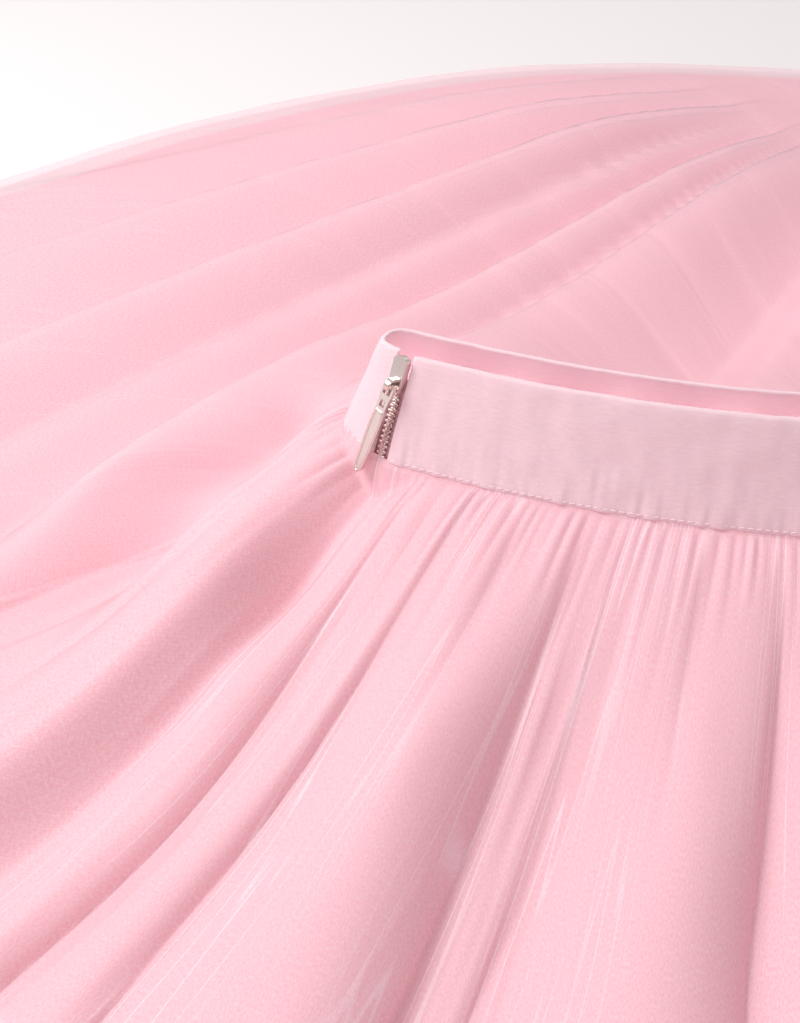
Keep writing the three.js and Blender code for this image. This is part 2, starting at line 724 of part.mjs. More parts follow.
const halfSlit = SLIT_WIDTH / 2;
const bandWall = { low: SEAM_GAP, high: BAND_HEIGHT, outer: 0, inner: BAND_WALL };
const bandFront = {
  from: (offset) => besideZip(halfSlit, offset),
  to: () => FRONT_LENGTH - SEAM_GAP / 2,
  columns: COLUMNS.front,
};
const bandBack = {
  from: () => FRONT_LENGTH + SEAM_GAP / 2,
  to: (offset) => WAIST_LENGTH + besideZip(-halfSlit, offset),
  columns: COLUMNS.back,
};
place(skirt, "waistband_front", bandGeometry({ ...bandFront, ...bandWall }), COLOURS.band, 0.75);
place(skirt, "waistband_back", bandGeometry({ ...bandBack, ...bandWall }), COLOURS.band, 0.75);
for (const panel of PANELS) place(skirt, panel.name, panelGeometry(panel), COLOURS.tulle, 0.9);
place(skirt, "tulle_under", underGeometry(), COLOURS.under, 0.9);

const tapeDepth = BAND_WALL + SEAM_GAP;
const tapeWall = {
  low: -TAPE.below,
  high: TAPE.reach,
  outer: tapeDepth,
  inner: tapeDepth + TAPE.wall,
  columns: COLUMNS.tape,
};
const tapeFront = {
  from: (offset) => besideZip(SEAM_GAP / 2, offset),
  to: (offset) => besideZip(TAPE.width, offset),
};
const tapeBack = {
  from: (offset) => besideZip(-TAPE.width, offset),
  to: (offset) => besideZip(-SEAM_GAP / 2, offset),
};
place(skirt, "zip_tape_front", bandGeometry({ ...tapeWall, ...tapeFront }), COLOURS.tape, 0.85);
place(skirt, "zip_tape_back", bandGeometry({ ...tapeWall, ...tapeBack }), COLOURS.tape, 0.85);

const zip = new THREE.Group();
const zipOut = new THREE.Vector3(Math.cos(ZIP_HEADING), Math.sin(ZIP_HEADING), 0);
const zipUp = zipOut.clone().multiplyScalar(-Math.sin(BAND_LEAN)).setZ(Math.cos(BAND_LEAN));
const zipNormal = zipOut.clone().multiplyScalar(Math.cos(BAND_LEAN)).setZ(Math.sin(BAND_LEAN));
const zipAlong = new THREE.Vector3().crossVectors(zipUp, zipNormal);
zip.quaternion.setFromRotationMatrix(new THREE.Matrix4().makeBasis(zipAlong, zipUp, zipNormal));
zip.position.copy(bandPoint(0, 0, 0));
skirt.add(zip);

const chainTop = SLIDER.top - SLIDER.length - CHAIN.clear;
const chain = new THREE.BoxGeometry(CHAIN.width, chainTop, CHAIN.wall);
chain.translate(0, chainTop / 2, CHAIN.out - CHAIN.wall / 2);
place(zip, "zip_chain", chain, COLOURS.metal, 0.35, 1);
place(zip, "zip_slider", sliderGeometry(), COLOURS.metal, 0.3, 1);

const pull = new THREE.Group();
pull.position.set(0, HINGE.up, HINGE.out);
pull.rotation.set(PULL.tilt, 0, -PULL.lean);
zip.add(pull);
place(pull, "zip_pull", pullGeometry(), COLOURS.metal, 0.28, 1);

export default skirt;
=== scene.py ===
"""Looks of the pink tulle skirt: net over under layers, a stitched waistband and a metal side zip."""

import math

import bmesh
import bpy
import numpy as np
from mathutils import Matrix, Vector


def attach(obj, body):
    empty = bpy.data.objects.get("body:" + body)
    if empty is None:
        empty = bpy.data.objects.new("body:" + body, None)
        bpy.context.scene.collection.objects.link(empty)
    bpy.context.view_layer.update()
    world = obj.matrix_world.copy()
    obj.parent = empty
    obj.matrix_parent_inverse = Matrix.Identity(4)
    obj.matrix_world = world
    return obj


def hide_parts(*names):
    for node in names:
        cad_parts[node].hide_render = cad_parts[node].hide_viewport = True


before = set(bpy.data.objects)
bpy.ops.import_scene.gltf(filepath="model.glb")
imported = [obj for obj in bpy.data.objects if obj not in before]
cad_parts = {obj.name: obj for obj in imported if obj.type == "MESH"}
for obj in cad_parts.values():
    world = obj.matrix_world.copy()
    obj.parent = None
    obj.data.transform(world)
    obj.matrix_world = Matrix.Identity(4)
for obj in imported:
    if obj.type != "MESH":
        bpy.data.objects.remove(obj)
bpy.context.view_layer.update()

# Driving dimensions in millimetres, the same as the solids have
SPINE_RADIUS = 420.0
SPINE_HALF_ANGLE = math.radians(20.5)
BAND_HEIGHT = 40.0
BAND_LEAN = math.radians(20)
BAND_WALL = 2.0
BAND_TOP_OFFSET = 8.0
SEAM_HEIGHT = 108.0
ZIP_TURN = math.radians(20)
SLIT_WIDTH = 6.6
SEAM_GAP = 0.3
SEAM_DROP = 0.5
LEFT_END = {"reach": 7.0, "full": 20.0, "fades": 40.0, "gone": 170.0}
HEM_HEIGHT = 3.0
SPREAD_HEIGHT = 29.0
SLOPE_REACH = 75.0
SLOPE_POWER = 1.5
SEAM_OFFSET = BAND_TOP_OFFSET + BAND_HEIGHT * math.sin(BAND_LEAN)
MM = 0.001

# Plan guides of each panel: share of the seam, then the bend and the hem that the cloth runs to
GUIDE_COLUMNS = ("share", "bend_x", "bend_y", "hem_x", "hem_y")
PANELS = {
    "tulle_front": {
        "gathers": 40,
        "folds": 11,
        "edges": (0, 0.058, 0.115, 0.237, 0.275, 0.427, 0.5, 0.58, 0.67, 0.77, 0.88, 1),
        "sizes": (0.6, 0.6, 1.1, 0.2, 1.1, 0.8, 0.9, 1.0, 0.9, 1.0, 0.9),
        "depth": 1.0,
        "swept": (1.0, 2.0),
        "guides": (
            (0, -355, -217, -550, -445),
            (0.25, -186, -300, -290, -572),
            (0.5, 8, -328, 15, -628),
            (0.72, 222, -282, 368, -550),
            (0.9, 350, -215, 570, -428),
            (1, 408, -140, 652, -292),
        ),
    },
    "tulle_back_right": {
        "gathers": 20,
        "folds": 13,
        "depth": 0.6,
        "swept": (0.1, 0.35),
        "guides": (
            (0, 408, -140, 652, -292),
            (0.05, 440, -40, 694, -80),
            (0.1, 435, 70, 684, 120),
            (0.16, 395, 190, 600, 320),
            (0.25, 325, 320, 425, 480),
            (0.4, 230, 430, 180, 596),
            (0.6, 130, 470, -90, 610),
            (0.8, 40, 450, -310, 510),
            (1, -30, 390, -480, 360),
        ),
    },
    "tulle_back_left": {
        "gathers": 20,
        "folds": 9,
        "depth": 0.5,
        "swept": (0.84, 0.66),
        "guides": (
            (0, -30, 390, -480, 360),
            (0.2, -83, 330, -588, 200),
            (0.4, -125, 258, -648, 40),
            (0.6, -185, 165, -680, -100),
            (0.78, -262, 70, -694, -215),
            (0.87, -400, -75, -684, -305),
            (0.94, -395, -160, -630, -382),
            (1, -355, -217, -550, -445),
        ),
    },
}

# The large waves of the solids: how many to a fold, depth, and where along the length they rise and fade
WAVES = (
    {"times": 2, "depth": 1.5, "starts": 0.0, "full": 0.04, "fades": 0.06, "gone": 0.2},
    {"times": 1, "depth": 14.0, "starts": 0.005, "full": 0.18, "fades": 1.5, "gone": 2.0},
)
LOBE_POWER = 0.35
LOBE_SKEW = 1.8
UNEVEN_SPACING = (
    {"swing": 0.016, "turns": 1.7, "start": 0.8},
    {"swing": 0.007, "turns": 4.3, "start": 2.5},
)
UNEVEN_DEPTH = {"mean": 0.7, "swing": 0.3, "turns": (0.37, 0.23), "starts": (1.1, 0.4)}
BILLOW_POWER = 2.5
WANDER = {"swing": 0.08, "full": 0.3, "along": 2.2, "turns": 0.37}
BILLOWS = (
    {"panel": "tulle_back_left", "share": 0.935, "width": 0.075, "rise": 18.0, "starts": 0.0, "full": 0.12},
    {"panel": "tulle_back_right", "share": 0.3, "width": 0.1, "rise": 12.0, "starts": 0.1, "full": 0.5},
    {"panel": "tulle_front", "share": 0.16, "width": 0.07, "rise": 9.0, "starts": 0.0, "full": 0.15},
    {"panel": "tulle_front", "share": 0.58, "width": 0.08, "rise": 10.0, "starts": 0.0, "full": 0.2},
)
HEM_SAMPLES = 120
FLAT_EDGE_GATHERS = 0.8

# Broad folds where the back was swept round. They fan out from a far point, each at its own angle in
# degrees. They rise outside the seam and away from the far point, sink to the hem and calm the other folds.
SWEEP = {
    "x": 262.0, "y": 720.0, "starts": 20, "full": 110, "near": 250, "clear": 480,
    "fades": 0.7, "hem": 0.4, "calm": 0.92,
}
SWEPT_FOLDS = (
    {"angle": 208.0, "steep": 2.0, "gentle": 5.0, "rise": 18.0},
    {"angle": 215.5, "steep": 1.8, "gentle": 5.0, "rise": 24.0},
    {"angle": 222.9, "steep": 1.6, "gentle": 4.0, "rise": 32.0},
    {"angle": 227.0, "steep": 1.2, "gentle": 2.4, "rise": 18.0},
    {"angle": 231.5, "steep": 1.5, "gentle": 3.4, "rise": 26.0},
    {"angle": 235.2, "steep": 1.6, "gentle": 5.5, "rise": 25.0},
    {"angle": 245.3, "steep": 1.9, "gentle": 6.0, "rise": 19.0},
    {"angle": 257.0, "steep": 2.5, "gentle": 6.0, "rise": 14.0},
)


# Number helpers
NOISE_CELLS = 512
NOISE2_CELLS = 128
CHANCE_CELLS = 1024


def ramp(value, low, high):
    t = np.clip((value - low) / (high - low), 0.0, 1.0)
    return t * t * (3.0 - 2.0 * t)


def smooth(rows, column, share):
    """A cubic through a table's column, with each row's slope taken from its neighbours."""
    table = np.array(rows, dtype=float)
    s = table[:, 0]
    y = table[:, GUIDE_COLUMNS.index(column)]
    low = np.maximum(np.arange(len(s)) - 1, 0)
    high = np.minimum(np.arange(len(s)) + 1, len(s) - 1)
    slope = (y[high] - y[low]) / (s[high] - s[low])
    i = np.clip(np.searchsorted(s, share, side="right") - 1, 0, len(s) - 2)
    span = s[i + 1] - s[i]
    t = (share - s[i]) / span
    t2 = t * t
    t3 = t2 * t
    start = (2 * t3 - 3 * t2 + 1) * y[i] + (t3 - 2 * t2 + t) * span * slope[i]
    end = (3 * t2 - 2 * t3) * y[i + 1] + (t3 - t2) * span * slope[i + 1]
    return start + end


def noise(x, seed):
    """Smooth one-dimensional noise between -1 and 1, the same on every run."""
    table = np.random.default_rng(seed).uniform(-1.0, 1.0, NOISE_CELLS)
    i = np.floor(x).astype(int)
    t = x - i
    t = t * t * (3.0 - 2.0 * t)
    return table[i % NOISE_CELLS] * (1.0 - t) + table[(i + 1) % NOISE_CELLS] * t


def noise2(x, y, seed):
    """Smooth two-dimensional noise between -1 and 1."""
    table = np.random.default_rng(seed).uniform(-1.0, 1.0, (NOISE2_CELLS, NOISE2_CELLS))
    i = np.floor(x).astype(int)
    j = np.floor(y).astype(int)
    s = x - i
    t = y - j
    s = s * s * (3.0 - 2.0 * s)
    t = t * t * (3.0 - 2.0 * t)
    left = i % NOISE2_CELLS
    right = (i + 1) % NOISE2_CELLS
    below = j % NOISE2_CELLS
    above = (j + 1) % NOISE2_CELLS
    low = table[left, below] * (1 - s) + table[right, below] * s
    high = table[left, above] * (1 - s) + table[right, above] * s
    return low * (1 - t) + high * t


def chance(cell, seed):
    """A number between 0 and 1 for each whole cell, the same on every run."""
    table = np.random.default_rng(seed).uniform(0.0, 1.0, CHANCE_CELLS)
    return table[np.floor(cell).astype(int) % CHANCE_CELLS]


# The waist loop, followed anticlockwise from the zip
FRONT = 1.5 * math.pi
BACK = 2.5 * math.pi
HALF = SPINE_HALF_ANGLE
ZIP_HEADING = FRONT - HALF - ZIP_TURN
STRETCH_SPINE = np.array([(-HALF, -HALF), (-HALF, HALF), (HALF, HALF), (HALF, -HALF), (-HALF, -HALF)])
STRETCH_HEADING = np.array(
    [
        (ZIP_HEADING, FRONT - HALF),
        (FRONT - HALF, FRONT + HALF),
        (FRONT + HALF, BACK + HALF),
        (BACK + HALF, BACK - HALF),
        (BACK - HALF, ZIP_HEADING + 2 * math.pi),
    ]
)
STRETCH_LENGTH = np.array(
    [
        ZIP_TURN * SEAM_OFFSET,
        2 * HALF * (SPINE_RADIUS + SEAM_OFFSET),
        math.pi * SEAM_OFFSET,
        2 * HALF * (SPINE_RADIUS - SEAM_OFFSET),
        (math.pi - ZIP_TURN) * SEAM_OFFSET,
    ]
)
STRETCH_ENDS = np.concatenate([[0.0], np.cumsum(STRETCH_LENGTH)])
WAIST_LENGTH = STRETCH_ENDS[-1]
FRONT_LENGTH = 2 * STRETCH_LENGTH[0] + STRETCH_LENGTH[1]
BACK_PANEL_LENGTH = (WAIST_LENGTH - FRONT_LENGTH) / 2
PANEL_STARTS = {
    "tulle_front": (0.0, FRONT_LENGTH),
    "tulle_back_right": (FRONT_LENGTH, BACK_PANEL_LENGTH),
    "tulle_back_left": (FRONT_LENGTH + BACK_PANEL_LENGTH, BACK_PANEL_LENGTH),
}


def spine_point(angle):
    return SPINE_RADIUS * np.sin(angle), SPINE_RADIUS * (1.0 - np.cos(angle))


LEFT_ANGLE = HALF + LEFT_END["reach"] / SPINE_RADIUS
LEFT_SHIFT = np.subtract(spine_point(-LEFT_ANGLE), spine_point(-HALF))


def waist_point(along, offset):
    """Plan points of the loop so many millimetres round the seam, standing that far off the spine."""
    lap = np.mod(along, WAIST_LENGTH)
    behind = WAIST_LENGTH - lap
    drawn = ramp(behind, 0.0, LEFT_END["full"]) * (1 - ramp(behind, LEFT_END["fades"], LEFT_END["gone"]))
    k = np.clip(np.searchsorted(STRETCH_ENDS, lap, side="right") - 1, 0, len(STRETCH_LENGTH) - 1)
    share = (lap - STRETCH_ENDS[k]) / STRETCH_LENGTH[k]
    angle = STRETCH_SPINE[k, 0] * (1 - share) + STRETCH_SPINE[k, 1] * share
    heading = STRETCH_HEADING[k, 0] * (1 - share) + STRETCH_HEADING[k, 1] * share
    x, y = spine_point(angle)
    x = x + offset * np.cos(heading) + LEFT_SHIFT[0] * drawn
    y = y + offset * np.sin(heading) + LEFT_SHIFT[1] * drawn
    return x, y


def outside_seam(x, y):
    """How far plan points lie outside the seam."""
    bend = np.arctan2(x, SPINE_RADIUS - y)
    angle = np.clip(bend, -LEFT_ANGLE, HALF)
    end_x, end_y = spine_point(angle)
    beside = np.abs(np.hypot(x, SPINE_RADIUS - y) - SPINE_RADIUS)
    away = np.where(angle == bend, beside, np.hypot(x - end_x, y - end_y))
    return np.maximum(0.0, away - SEAM_OFFSET)


# Valleys in the cloth, one below the zip and one behind the lobe beside it: where each starts, its heading
# and its sizes
ZIP_FOOT = waist_point(np.array(0.0), SEAM_OFFSET)
VALLEYS = (
    {
        "x": float(ZIP_FOOT[0]), "y": float(ZIP_FOOT[1]), "heading": ZIP_HEADING, "length": 80.0,
        "depth": 14.0, "reach": 12.0, "spread": 0.0, "fades": 35.0, "full": 0.006,
    },
    {
        "x": -196.0, "y": 72.0, "heading": math.radians(228), "length": 330.0,
        "depth": 21.0, "reach": 20.0, "spread": 0.08, "fades": 0.0, "full": 0.06,
    },
)


def valley_depth(x, y, along):
    """How deep plan points lie in the valleys."""
    depth = 0.0
    for valley in VALLEYS:
        out_x = math.cos(valley["heading"])
        out_y = math.sin(valley["heading"])
        away_x = x - valley["x"]
        away_y = y - valley["y"]
        out = away_x * out_x + away_y * out_y
        run = np.clip(out, 0.0, valley["length"])
        beside = np.hypot(away_x - run * out_x, away_y - run * out_y)
        width = valley["reach"] + valley["spread"] * run
        section = np.exp(-((beside / width) ** 2)) * (1 - ramp(out, valley["fades"], valley["length"]))
        depth = depth + valley["depth"] * section * ramp(along, 0.0, valley["full"])
    return depth


def plain_height(x, y, along):
    peak = SEAM_HEIGHT - SEAM_DROP - SPREAD_HEIGHT - HEM_HEIGHT
    slope = peak * np.exp(-((outside_seam(x, y) / SLOPE_REACH) ** SLOPE_POWER))
    spread = SPREAD_HEIGHT * (1.0 - along * along)
    return HEM_HEIGHT + slope + spread - valley_depth(x, y, along)


def panel_plan(name, share, along):
    """Plan points of a panel, at shares of its seam and so far along to the hem."""
    start, length = PANEL_STARTS[name]
    guides = PANELS[name]["guides"]
    seam_x, seam_y = waist_point(start + share * length, SEAM_OFFSET)
    bend_x, bend_y = smooth(guides, "bend_x", share), smooth(guides, "bend_y", share)
    hem_x, hem_y = smooth(guides, "hem_x", share), smooth(guides, "hem_y", share)
    a, b, c = (1 - along) ** 2, 2 * along * (1 - along), along**2
    return a * seam_x + b * bend_x + c * hem_x, a * seam_y + b * bend_y + c * hem_y


def uneven_share(share):
    """Uneven spacing of the waves, the same on every run."""
    shift = 0.0
    for wave in UNEVEN_SPACING:
        swing = np.sin(2 * math.pi * wave["turns"] * share + wave["start"]) - math.sin(wave["start"])
        shift = shift + wave["swing"] * swing
    return share + shift


def uneven_depth(turn):
    waves = zip(UNEVEN_DEPTH["turns"], UNEVEN_DEPTH["starts"])
    slow, slower = (np.sin(2 * math.pi * turns * turn + start) for turns, start in waves)
    return UNEVEN_DEPTH["mean"] + UNEVEN_DEPTH["swing"] * slow * slower


def fold_turns(name, share):
    """Which fold each share of the seam belongs to, from the given edges or evenly between seam and hem."""
    panel = PANELS[name]
    if "edges" in panel:
        return np.interp(share, panel["edges"], np.arange(len(panel["edges"])))
    shares = np.linspace(0.0, 1.0, HEM_SAMPLES + 1)
    x, y = panel_plan(name, shares, np.ones_like(shares))
    reached = np.concatenate([[0.0], np.cumsum(np.hypot(np.diff(x), np.diff(y)))])
    spread = uneven_share((shares + reached / reached[-1]) / 2)
    return np.interp(share, shares, panel["folds"] * spread / spread[-1])


def swept_height(x, y, along):
    """How far the swept folds stand up at plan points."""
    angle = np.degrees(np.arctan2(y - SWEEP["y"], x - SWEEP["x"])) + 360.0
    height = np.zeros_like(angle)
    for fold in SWEPT_FOLDS:
        past = angle - fold["angle"]
        width = np.where(past < 0, fold["steep"], fold["gentle"])
        height = np.maximum(height, fold["rise"] * np.exp(-((past / width) ** 2)))
    away = np.hypot(x - SWEEP["x"], y - SWEEP["y"])
    here = ramp(outside_seam(x, y), SWEEP["starts"], SWEEP["full"])
    here = here * ramp(away, SWEEP["near"], SWEEP["clear"])
    return height * here * (1 - (1 - SWEEP["hem"]) * ramp(along, SWEEP["fades"], 1.0))


def fold_size(name, turns):
    """How large each fold is beside the others: from the given sizes, or uneven along the panel."""
    panel = PANELS[name]
    if "sizes" in panel:
        return np.array(panel["sizes"])[np.clip(np.floor(turns).astype(int), 0, panel["folds"] - 1)]
    return uneven_depth(turns)


def lobe(turn):
    """A fold's section: a wide top, steeper on its right, between narrow valleys at each whole turn."""
    across = (turn - np.floor(turn)) ** LOBE_SKEW
    return (0.5 - 0.5 * np.cos(2 * math.pi * across)) ** LOBE_POWER


def fold_height(name, share, along, x, y):
    """How far the cloth's large folds stand above its plain height, as on the solids."""
    panel = PANELS[name]
    flat_edge = FLAT_EDGE_GATHERS / panel["gathers"]
    edge = ramp(share, 0.0, flat_edge) * ramp(1 - share, 0.0, flat_edge)
    turns = fold_turns(name, share)
    wander = np.sin(2 * math.pi * (WANDER["along"] * along + WANDER["turns"] * turns))
    turns = turns + WANDER["swing"] * ramp(along, 0.0, WANDER["full"]) * wander
    height = np.zeros_like(share + along)
    for wave in WAVES:
        turn = turns * wave["times"]
        here = ramp(along, wave["starts"], wave["full"]) * (1 - ramp(along, wave["fades"], wave["gone"]))
        height = height + panel["depth"] * wave["depth"] * fold_size(name, turns) * lobe(turn) * here
    for billow in BILLOWS:
        if billow["panel"] == name:
            away = np.abs(share - billow["share"]) / billow["width"]
            here = ramp(along, billow["starts"], billow["full"])
            height = height + billow["rise"] * np.exp(-(away**BILLOW_POWER)) * here
    none, full = panel["swept"]
    swept = ramp(share, none, full) if full > none else 1 - ramp(share, full, none)
    return edge * height * (1 - SWEEP["calm"] * swept) + swept * swept_height(x, y, along)


# Finer cloth detail that only the picture has. Gathers merge into wider ones away from the seam: their
# spacing and depth in millimetres, where along the length each size rises and fades, and how calm it is on
# top of the folds
GATHER_COLUMNS = ("spacing", "depth", "starts", "full", "fades", "gone", "calm")
GATHERS = (
    (4.6, 1.8, -0.004, 0.01, 0.012, 0.07, 0.0),
    (9.5, 1.0, 0.004, 0.03, 0.04, 0.16, 0.7),
    (15.0, 1.3, 0.02, 0.1, 0.2, 0.6, 0.93),
)

# Each panel's layers: seed of its noise, shares of the fine detail, and how far it lies below the net
LAYERS = {
    "net": {"seed": 10, "gather": 1.0, "hairline": 0.5, "crinkle": 1.0, "sink": 0.0},
    "lower": {"seed": 70, "gather": 0.6, "hairline": 0.8, "crinkle": 0.9, "sink": 4.5},
}

# How the fine detail fades away from the seam, and the numbers that shape it
FAR_DETAIL = {"tulle_front": 1.0, "tulle_back_right": 0.25, "tulle_back_left": 0.25}
FAR_FADE = (0.08, 0.2)
NEAR_SHARE = {"tulle_back_left": 0.8}
PANEL_SEEDS = 100
SEEDS = {"drift": 5, "size": 10, "reach": 15, "warp": 20, "crease": 21, "patch": 22, "crinkle": 23}
ACROSS_PANEL = 900.0
GATHER_WARP = {"even": 0.7, "even_lanes": 0.41, "drift": 0.3, "along": 70.0, "drift_lanes": 0.3}
GATHER_SIZE = {"least": 0.25, "more": 0.75}
GATHER_REACH = {"least": 0.45, "more": 0.9}
GATHER_POWER = 0.85
VALLEY_POWER = 2
HAIRLINE = {
    "lane": 5.0, "warp": 0.8, "warp_along": 90.0, "warp_across": 30.0, "power": 6,
    "patch_along": 80.0, "patch_lanes": 0.6, "patches": (0.1, 0.8),
    "top": 0.4, "valley": 1.2, "rise": (0.02, 0.1),
}
CRINKLES = (
    {"size": 0.6, "along": 32.0, "across": 14.0},
    {"size": 1.4, "along": 75.0, "across": 34.0},
)
CRINKLE_LIFT = 1.2
CRINKLE_RISE = (0.015, 0.1)
EDGE_GATHERS = 0.6

# Each panel is cut wider at the hem than at the gathered top: sizes of the flat cut in metres
CUT_LENGTH = {"net": 0.62, "lower": 0.6}
NET_LENGTH = CUT_LENGTH["net"] / MM


def fine_height(name, share, along, layer):
    """Fine gathers, hairline creases and soft crinkles of one layer."""
    look = LAYERS[layer]
    seed = look["seed"] + PANEL_SEEDS * list(PANELS).index(name)
    seam_length = PANEL_STARTS[name][1]
    round_seam = share * seam_length
    across = fold_turns(name, share) / PANELS[name]["folds"] * ACROSS_PANEL
    down = along * NET_LENGTH
    near = share > NEAR_SHARE.get(name, math.inf)
    far = np.where(near, 1.0, 1.0 - (1.0 - FAR_DETAIL[name]) * ramp(along, *FAR_FADE))
    valley = 1 - lobe(fold_turns(name, share)) ** VALLEY_POWER
    height = np.zeros_like(share + along)
    for row, values in enumerate(GATHERS):
        gather = dict(zip(GATHER_COLUMNS, values))
        row_seed = seed + row
        lane = round_seam / gather["spacing"]
        even = noise(lane * GATHER_WARP["even_lanes"], row_seed)
        drift_lane = lane * GATHER_WARP["drift_lanes"]
        drift = noise2(down / GATHER_WARP["along"], drift_lane, row_seed + SEEDS["drift"])
        phase = lane + (GATHER_WARP["even"] * even + GATHER_WARP["drift"] * drift)
        size = GATHER_SIZE["least"] + GATHER_SIZE["more"] * chance(phase, row_seed + SEEDS["size"])
        reach = GATHER_REACH["least"] + GATHER_REACH["more"] * chance(phase, row_seed + SEEDS["reach"])
        rise = ramp(along, gather["starts"], gather["full"])
        fade = 1 - ramp(along / reach, gather["fades"], gather["gone"])
        calm = 1 - gather["calm"] * (1 - valley)
        section = np.abs(np.sin(math.pi * phase)) ** GATHER_POWER
        height = height + gather["depth"] * calm * size * section * rise * fade
    height = look["gather"] * height
    warp = noise2(down / HAIRLINE["warp_along"], across / HAIRLINE["warp_across"], seed + SEEDS["warp"])
    lane = across / HAIRLINE["lane"] + HAIRLINE["warp"] * warp
    crease = (1.0 - np.abs(noise(lane, seed + SEEDS["crease"]))) ** HAIRLINE["power"]
    patch_lane = lane * HAIRLINE["patch_lanes"]
    patches = noise2(down / HAIRLINE["patch_along"], patch_lane, seed + SEEDS["patch"])
    crease = crease * ramp(patches, *HAIRLINE["patches"]) * ramp(along, *HAIRLINE["rise"])
    height = height + look["hairline"] * crease * (HAIRLINE["top"] + HAIRLINE["valley"] * valley)
    soft = CRINKLE_LIFT
    for row, crinkle in enumerate(CRINKLES):
        row_seed = seed + SEEDS["crinkle"] + row
        waves = noise2(down / crinkle["along"], across / crinkle["across"], row_seed)
        soft = soft + crinkle["size"] * waves
    height = height + look["crinkle"] * soft * ramp(along, *CRINKLE_RISE)
    flat_edge = EDGE_GATHERS * GATHERS[0][0] / seam_length
    edge = ramp(share, 0.0, flat_edge) * ramp(1 - share, 0.0, flat_edge)
    return edge * far * height


# Where the net stands clear of the layer below it: share of the seam, half width, extra room in millimetres
CLEARANCE = (
    {"panel": "tulle_back_left", "share": 0.9, "width": 0.07, "room": 9.0},
    {"panel": "tulle_front", "share": 0.04, "width": 0.04, "room": 5.0},
)
CLEAR_EDGE = 0.03
SEAM_SINK = 0.5
FULL_SINK = 0.05


def layer_sink(name, share, along, layer):
    """How far a layer lies below the net."""
    if layer == "net":
        return np.zeros_like(share + along)
    room = LAYERS[layer]["sink"]
    for clear in CLEARANCE:
        if clear["panel"] == name:
            edge = ramp(share, 0.0, CLEAR_EDGE) * ramp(1 - share, 0.0, CLEAR_EDGE)
            away = (share - clear["share"]) / clear["width"]
            room = room + edge * clear["room"] * np.exp(-(away**2))
    return room * (SEAM_SINK + (1 - SEAM_SINK) * ramp(along, 0.0, FULL_SINK))


# Mesh helpers
def add_object(name, vertices, faces, uvs=None):
    """A mesh object from millimetre points; uvs holds one pair for each vertex, in metres of cloth."""
    mesh = bpy.data.meshes.new(name)
    mesh.from_pydata((np.asarray(vertices) * MM).tolist(), [], faces)
    if uvs is not None:
        layer = mesh.uv_layers.new(name="cloth")
        loops = np.empty(len(mesh.loops), dtype=np.int32)
        mesh.loops.foreach_get("vertex_index", loops)
        layer.data.foreach_set("uv", np.asarray(uvs, dtype=np.float32)[loops].ravel())
    mesh.polygons.foreach_set("use_smooth", np.ones(len(mesh.polygons), dtype=bool))
    mesh.update()
    obj = bpy.data.objects.new(name, mesh)
    bpy.context.scene.collection.objects.link(obj)
    return obj


def grid_faces(rows, columns, closed=False):
    """Quads of a grid of points, as lists; a closed grid joins its last row to its first."""
    i = np.arange(rows if closed else rows - 1)
    j = np.arange(columns - 1)
    i, j = np.meshgrid(i, j, indexing="ij")
    below = (i + 1) % rows
    first = i * columns + j
    second = below * columns + j
    return np.stack([first, second, second + 1, first + 1], -1).reshape(-1, 4).tolist()


def finish_piece(obj, material, body):
    """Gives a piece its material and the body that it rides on."""
    obj.data.materials.append(material)
    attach(obj, body)


# Material helpers
def set_colour(node, socket, colour):
    node.inputs[socket].default_value = (*colour, 1.0)


def new_material(name, colour, roughness, metallic=0.0):
    material = bpy.data.materials.new(name)
    material.use_nodes = True
    shader = material.node_tree.nodes["Principled BSDF"]
    set_colour(shader, "Base Color", colour)
    shader.inputs["Roughness"].default_value = roughness
    shader.inputs["Metallic"].default_value = metallic
    return material, shader


def add_node(material, kind, **settings):
    node = material.node_tree.nodes.new(kind)
    for key, value in settings.items():
        setattr(node, key, value)
    return node


def math_node(material, operation, first, second=None):
    """The result of a sum on two numbers or sockets."""
    node = add_node(material, "ShaderNodeMath", operation=operation)
    for socket, value in zip(node.inputs, (first, second)):
        if isinstance(value, (int, float)):
            socket.default_value = value
        elif value is not None:
            material.node_tree.links.new(value, socket)
    return node.outputs[0]


def stripes(material, across, along):
    """Sine stripes over the cloth's own coordinates, with so many to the metre each way."""
    uv = add_node(material, "ShaderNodeUVMap", uv_map="cloth")
    split = add_node(material, "ShaderNodeSeparateXYZ")
    material.node_tree.links.new(uv.outputs[0], split.inputs[0])
    u = math_node(material, "MULTIPLY", split.outputs[0], 2 * math.pi * across)
    v = math_node(material, "MULTIPLY", split.outputs[1], 2 * math.pi * along)
    return math_node(material, "SINE", math_node(material, "ADD", u, v))


def colour_mix(material, factor, low, high):
    mix = add_node(material, "ShaderNodeMix", data_type="RGBA")
    material.node_tree.links.new(factor, mix.inputs["Factor"])
    set_colour(mix, "A", low)
    set_colour(mix, "B", high)
    return mix.outputs["Result"]


def bump(material, shader, height, strength, distance):
    node = add_node(material, "ShaderNodeBump")
    node.inputs["Strength"].default_value = strength
    node.inputs["Distance"].default_value = distance
    material.node_tree.links.new(height, node.inputs["Height"])
    material.node_tree.links.new(node.outputs[0], shader.inputs["Normal"])


def linear(red, green, blue):
    """A colour read as 0 to 255 display values, made linear for the shader."""
    values = np.array((red, green, blue)) / 255.0
    curved = ((values + 0.055) / 1.055) ** 2.4
    return tuple(np.where(values <= 0.04045, values / 12.92, curved).tolist())


NOISE_MIDDLE = 0.5


